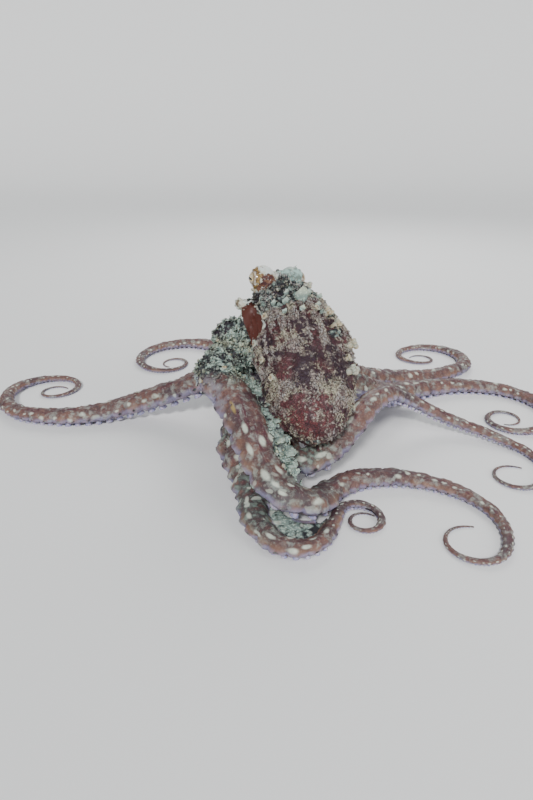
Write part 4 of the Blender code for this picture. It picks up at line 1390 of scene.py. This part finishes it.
def flaps():
    """The few large, leaf-shaped papillae on the neck and along the strip of mint skin."""
    made = Tufts(flap_form())
    places = [(mantle_point(t, math.radians(degrees)), UP + AHEAD * 0.15 - TO_LEFT * draw.uniform(0.0, 0.6),
               -AHEAD + UP * 0.2 + TO_LEFT * draw.uniform(-0.3, 0.3), height)
              for t, degrees, height in MANTLE_FLAPS]
    arm = arms["left_3"]
    for s, height in STRIP_FLAPS:
        side, back = (Vector(arm.at(way, s * MM)) for way in (arm.side, arm.back))
        middle = Vector([np.interp(s * MM, STRIP_STATIONS, STRIP_LINE[:, i]) for i in range(3)])
        places.append((middle + back * 3 * MM + side * draw.uniform(-3, 2) * MM,
                       back * 0.5 - side * 0.4 + DOWN_BODY * 0.7, back, height))
    for place, way, facing, height in places:
        spot, row, _ = skin_finder.find(place)
        size = height * MM
        here = marks_at(row)
        here["marks_body"] = np.array((0, 1, 0, here["marks_body"][3]))
        here["marks_fine"] = np.array((1, 0, 0, 0))
        made.add(np.array(spot + way.normalized() * 0.15 * size), np.array(way), np.array(facing),
                 (size * 0.5, size * 0.5, size * 0.95), here, draw.uniform(0.45, 0.7), spot_at(row, spot))
    return made.build("flaps")


def leaf_coat(name, weight, count, sizes, lift):
    """Small leaf-like papillae, leaning down the body; lift is how far they stand off the skin."""
    made = Tufts(leaf_form())
    for row, place, normal, patch in flecks_over(weight, count, 4.0):
        size = (sizes[0] + (sizes[1] - sizes[0]) * draw.random() ** 1.6) * MM
        lie = Vector(normal) * draw.uniform(*lift) + DOWN_BODY * 0.7
        lie += Vector((draw.uniform(-0.7, 0.7), draw.uniform(-0.7, 0.7), draw.uniform(-0.6, 0.6)))
        if lie.dot(Vector(normal)) < 0.25:
            lie += Vector(normal) * (0.25 - lie.dot(Vector(normal)))
        tone = tone_of(row, 0.02 + 0.8 * pallor_at(row) * (0.3 + patch) + draw.uniform(-0.15, 0.2))
        shape = (size * draw.uniform(0.7, 1.2), size * 0.6, size * draw.uniform(1.0, 1.8))
        made.add(place, np.array(lie), normal + 0.01, shape, marks_at(row), tone, spot_at(row, place))
    return made.build(name)


def crumbs(name, weight, count, sizes, drawn_out=False):
    """Low beads of skin, packed among the leaves; on the mantle they are drawn out along it."""
    made = Tufts(turned_form([(-0.35, 0.95, 0.0), (0.35, 0.9, 0.47), (0.75, 0.45, 1.0)], 5))
    for row, place, normal, patch in flecks_over(weight, count, 9.0):
        size = draw.uniform(*sizes) * MM
        lie = Vector(normal) + Vector([draw.uniform(-0.3, 0.3) for _ in range(3)])
        ahead = Vector([draw.uniform(-1, 1) for _ in range(3)])
        wide, long = (1.0, 1.0)
        if drawn_out:
            ahead = ahead * 0.3 + (MANTLE_END - MANTLE_FRONT).normalized()
            wide, long = (0.62, 1.9)
        tone = tone_of(row, 0.9 * pallor_at(row) * (0.3 + patch) + draw.uniform(-0.25, 0.25))
        shape = (size * wide, size * long * draw.uniform(0.8, 1.3), size)
        made.add(place, np.array(lie), np.array(ahead), shape, marks_at(row), tone, spot_at(row, place))
    return made.build(name)


def knob_places():
    """Place, way out and radius of every large knob, and of smaller ones scattered by seed."""
    found = []
    for t, degrees, size in MANTLE_KNOBS:
        skin_point = mantle_point(t, math.radians(degrees))
        found.append((skin_point, (skin_point - mantle_axis(t)).normalized(), size * MM))
    for sign, out, rise, back, size in HEAD_KNOBS:
        way = (TO_LEFT * (sign * out) + UP * rise - AHEAD * back).normalized()
        found.append((EYES_MIDDLE + EYE_AXIS * (sign * EYE_SPREAD) + way * BULGE_RADIUS, way, size * MM))
    weight = dry * marks["mint"] * (1 - marks["smooth"])
    weight *= ease(sampler.points[:, 2], 30 * MM, 40 * MM)
    _, places, normals = sampler.scatter(weight, 120)
    for place, normal in zip(places, normals):
        size = draw.uniform(1.0, 1.9) * MM
        if all((Vector(place) - other).length > 3.2 * (size + s) for other, _, s in found):
            found.append((Vector(place), Vector(normal), size))
    return found


def rosette_form():
    """A short neck that opens into a ring of uneven beads, with smaller beads round a brown middle."""
    bm = bmesh.new()
    shade_of = bm.verts.layers.float.new("shade")
    bmesh.ops.create_cone(bm, cap_ends=True, segments=10, radius1=0.6, radius2=0.72, depth=1.9)
    parts = [(0, 0, 0.72, 0.55, 0.3)]
    for i in range(9):
        turn = 2 * math.pi * i / 9 + draw.uniform(-0.12, 0.12)
        parts.append((0.78 * math.cos(turn), 0.78 * math.sin(turn), 0.85 + draw.uniform(-0.12, 0.12),
                      draw.uniform(0.27, 0.38), 0.33))
    for i in range(5):
        turn = 2 * math.pi * i / 5 + 0.3
        parts.append((0.38 * math.cos(turn), 0.38 * math.sin(turn), 1.02, 0.18, 0.16))
    for x, y, height, across, tall in parts:
        ball = bmesh.ops.create_icosphere(bm, subdivisions=2, radius=1.0)["verts"]
        bmesh.ops.scale(bm, verts=ball, vec=(across, across, tall))
        bmesh.ops.translate(bm, verts=ball, vec=(x, y, height))
    for vert in bm.verts:
        outward = min(max((math.hypot(vert.co.x, vert.co.y) - 0.12) * 2.0, 0), 1)
        vert[shade_of] = outward if vert.co.z > 0.55 else 0.35
    return taken_out(bm, shade_of)


def set_knobs(name, form, places):
    made = Tufts(form)
    for place, way, size in places:
        spot, row, _ = skin_finder.find(place)
        tall = size * (1.5 if size > 2.9 * MM else 1.0)
        ahead = np.array((draw.uniform(-1, 1), 0.2, 1.0))
        made.add(np.array(spot), np.array(way), ahead, (size, size, tall), marks_at(row),
                 draw.uniform(0.75, 1.0), spot_at(row, spot))
    return made.build(name)


def knobs():
    """The large knobs, each a rosette, and the small ones, plain beads in a ring about a dip."""
    places = knob_places()
    small = turned_form([(-1.0, 0.7, 0.3), (0.1, 0.6, 0.4), (0.5, 0.85, 0.7), (0.85, 1.0, 1.0),
                         (1.1, 0.8, 1.0), (0.95, 0.4, 0.6), (0.8, 0.15, 0.35)], 10)
    return (set_knobs("knobs", rosette_form(), [place for place in places if place[2] >= 2 * MM]),
            set_knobs("small_knobs", small, [place for place in places if place[2] < 2 * MM]))


def suckers():
    """Two rows of suckers under every arm, closing up and shrinking towards the tip."""
    made = Tufts(turned_form([(-0.6, 0.78, 0.0), (0.2, 0.72, 0.0), (0.85, 1.0, 0.1), (1.0, 0.92, 0.2),
                              (0.95, 0.66, 0.5), (0.45, 0.42, 0.9), (0.25, 0.12, 1.0)], 8))
    plain = {label: np.zeros(4) for label in MARK_NAMES}
    plain["marks_arm"] = np.array((1.0, 1.0, 0, 0))
    for index, arm in enumerate(arms.values()):
        s = 42 * MM
        row = 1
        while s < arm.length - 4 * MM:
            width = float(arm.at(arm.width, s))
            radius = max(0.32 * width, 0.55 * MM) * draw.uniform(0.93, 1.05)
            back = arm.at(arm.back, s)
            place = arm.at(arm.middle, s) + arm.at(arm.side, s) * (row * 0.42 * width) - back * (SOLE * width)
            around = 1.6 * row
            here = {**plain, "arm_way": np.array((0, around, s / MM))}
            made.add(place, -back, arm.at(arm.ahead, s), (radius, radius, sucker_depth(width)), here, 1.0,
                     unwrap_spot(place, index, s, around, True))
            s += max(0.40 * width, 0.75 * MM) + 0.3 * MM
            row = -row
    return made.build("suckers")


def eye(sign, name):
    """An eyeball with the way it looks kept on it as x, y across the gaze and z along it."""
    out = eye_outward(sign)
    level = UP.cross(out).normalized()
    top = out.cross(level)
    bm = bmesh.new()
    bmesh.ops.create_uvsphere(bm, u_segments=56, v_segments=36, radius=EYE_RADIUS)
    gaze = []
    for vert in bm.verts:
        x, y, z = vert.co / EYE_RADIUS
        gaze.append((x, y, z))
        bulge = 1 + 0.05 * max(z, 0) ** 6
        vert.co = eye_centre(sign) + (level * x + top * y + out * (z * bulge)) * EYE_RADIUS
    bmesh.ops.recalc_face_normals(bm, faces=bm.faces)
    made = from_bmesh(name, bm)
    store(made.data, "gaze", np.array(gaze))
    made.data.shade_smooth()
    return made


clump = ease(0.5 + 0.5 * ripple(sampler.points + 7.0, 120, 2), 0.3, 0.62)
rough_skin = dry * (1 - marks["smooth"])
height_of = sampler.points[:, 2]

# How thickly the mint skin and the mantle carry their small forms.
at_root = 0.04 * ease(survey.s, 150 * MM, 60 * MM) + 0.3 * ease(survey.s, 82 * MM, 50 * MM)
green = rough_skin * (1 - marks["mantle"]) * (0.1 + 0.9 * clump)
green = green * (marks["arm"] * at_root + marks["mint"] + 0.8 * marks["head"])
green *= (0.12 + 0.88 * ease(marks["lumps"], 0.12, 0.45)) * (1 - 0.6 * marks["plum"])
green *= (1 - 0.85 * marks["strip"]) * (1 - 0.7 * ease(height_of, 22 * MM, 12 * MM))
dark = rough_skin * (1 - 0.65 * marks["ribbed"]) * marks["mantle"] * (0.10 + 0.90 * marks["pale"])
dark *= 0.35 + 0.65 * clump
dark *= 1 - 0.7 * marks["red_end"]
dark *= 0.25 + 0.75 * ease(marks["t"], 0.98, 0.90)
frilly = green * clump * ease(height_of, 16 * MM, 28 * MM) * (0.5 + 2 * marks["strip"])

large_knobs, small_knobs = knobs()
coats = [leaf_coat("flakes", green, 6000, (0.9, 1.9), (0.35, 0.9)),
         leaf_coat("frills", frilly, 560, (2.0, 4.2), (0.2, 0.6)), flaps(),
         leaf_coat("mantle_flakes", dark, 2600, (0.9, 2.2), (0.2, 0.6)),
         crumbs("crumbs", green + 0.35 * marks["knob"], 7400, (0.6, 1.4)),
         crumbs("mantle_crumbs", dark, 2600, (0.5, 1.0), True)]
sucker_rows = suckers()
left_eye, right_eye = eye(1, "eyeball_left"), eye(-1, "eyeball_right")
# What each finish covers, and a slot name for it, which the loop below does not use.
DRESSED = [(wet_skin("mottled skin"), "arm_skin", [skin]),
           (wet_skin("papilla skin", True), "mantle_skin", coats),
           (knob_finish(), "mantle_skin", [large_knobs, small_knobs]),
           (sucker_finish(), "web_skin", [sucker_rows]), (eye_finish(), "eye", [left_eye, right_eye])]
skin.data.materials.clear()
for finish, slot, pieces in DRESSED:
    for piece in pieces:
        piece.data.materials.append(finish)
        set_points(piece.data, points_of(piece.data) + np.array(ROW_SHIFT))
        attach(piece, "root")
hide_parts(*[name for name in frame["nodes"] if not name.startswith("eye_")])
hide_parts("eye_left")
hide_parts("eye_right")


# Floor, light and camera.

BACKDROP_START = 2.2
BACKDROP_RADIUS = 1.6


FLOOR_FRONT = 4
FLOOR_HALF_WIDTH = 5
WALL_HEIGHT = 2
SKY_LIGHT = rgb(0.80, 0.86, 0.92)
SKY_STRENGTH = 0.36
SUN_STRENGTH = 2.8
SUN_SPREAD = math.radians(9)
SUN_TURN = (math.radians(51), 0, math.radians(-12))
LAMPS_AIM = Vector((0.0, 0.0, 0.06))


def sweep_floor():
    """A pale floor that curves up into a backdrop far behind the animal."""
    curve = BACKDROP_RADIUS * math.pi / 2
    bm = bmesh.new()
    bmesh.ops.create_grid(bm, x_segments=1, y_segments=40, size=1.0)
    for vert in bm.verts:
        away = (vert.co.y + 1) / 2 * (BACKDROP_START + FLOOR_FRONT + curve + WALL_HEIGHT) - FLOOR_FRONT
        turn = min(max((away - BACKDROP_START) / BACKDROP_RADIUS, 0), math.pi / 2)
        rest = max(away - BACKDROP_START - curve, 0)
        vert.co = (vert.co.x * FLOOR_HALF_WIDTH, min(away, BACKDROP_START) + BACKDROP_RADIUS * math.sin(turn),
                   BACKDROP_RADIUS * (1 - math.cos(turn)) + rest)
    made = from_bmesh("pale_floor", bm)
    made.data.shade_smooth()
    made.data.materials.append(floor_finish())


def lamp(name, place, size, power):
    light = bpy.data.lights.new(name, "AREA")
    light.size = size
    light.energy = power
    made = link(name, light)
    made.location = place
    made.rotation_euler = (LAMPS_AIM - Vector(place)).to_track_quat("-Z", "Y").to_euler()


sweep_floor()
world = bpy.data.worlds.new("soft room")
world.use_nodes = True
plug(world.node_tree.nodes["Background"], {"Color": SKY_LIGHT, "Strength": SKY_STRENGTH})
bpy.context.scene.world = world
sun = bpy.data.lights.new("key", "SUN")
sun.energy = SUN_STRENGTH
sun.angle = SUN_SPREAD
link("key", sun).rotation_euler = SUN_TURN
lamp("fill", (0.9, -0.7, 0.6), 0.7, 6)
lamp("rim", (0.2, 0.9, 0.8), 0.6, 5)

camera = bpy.data.cameras.new("camera")
camera.sensor_fit = "VERTICAL"
camera.sensor_height = 36
camera.lens = LENS_OVER_FRAME * 36
seen_from = link("camera", camera)
seen_from.location = CAMERA_PLACE + ROW_SHIFT
seen_from.rotation_euler = (math.radians(90) - CAMERA_PITCH, 0, 0)
bpy.context.scene.camera = seen_from
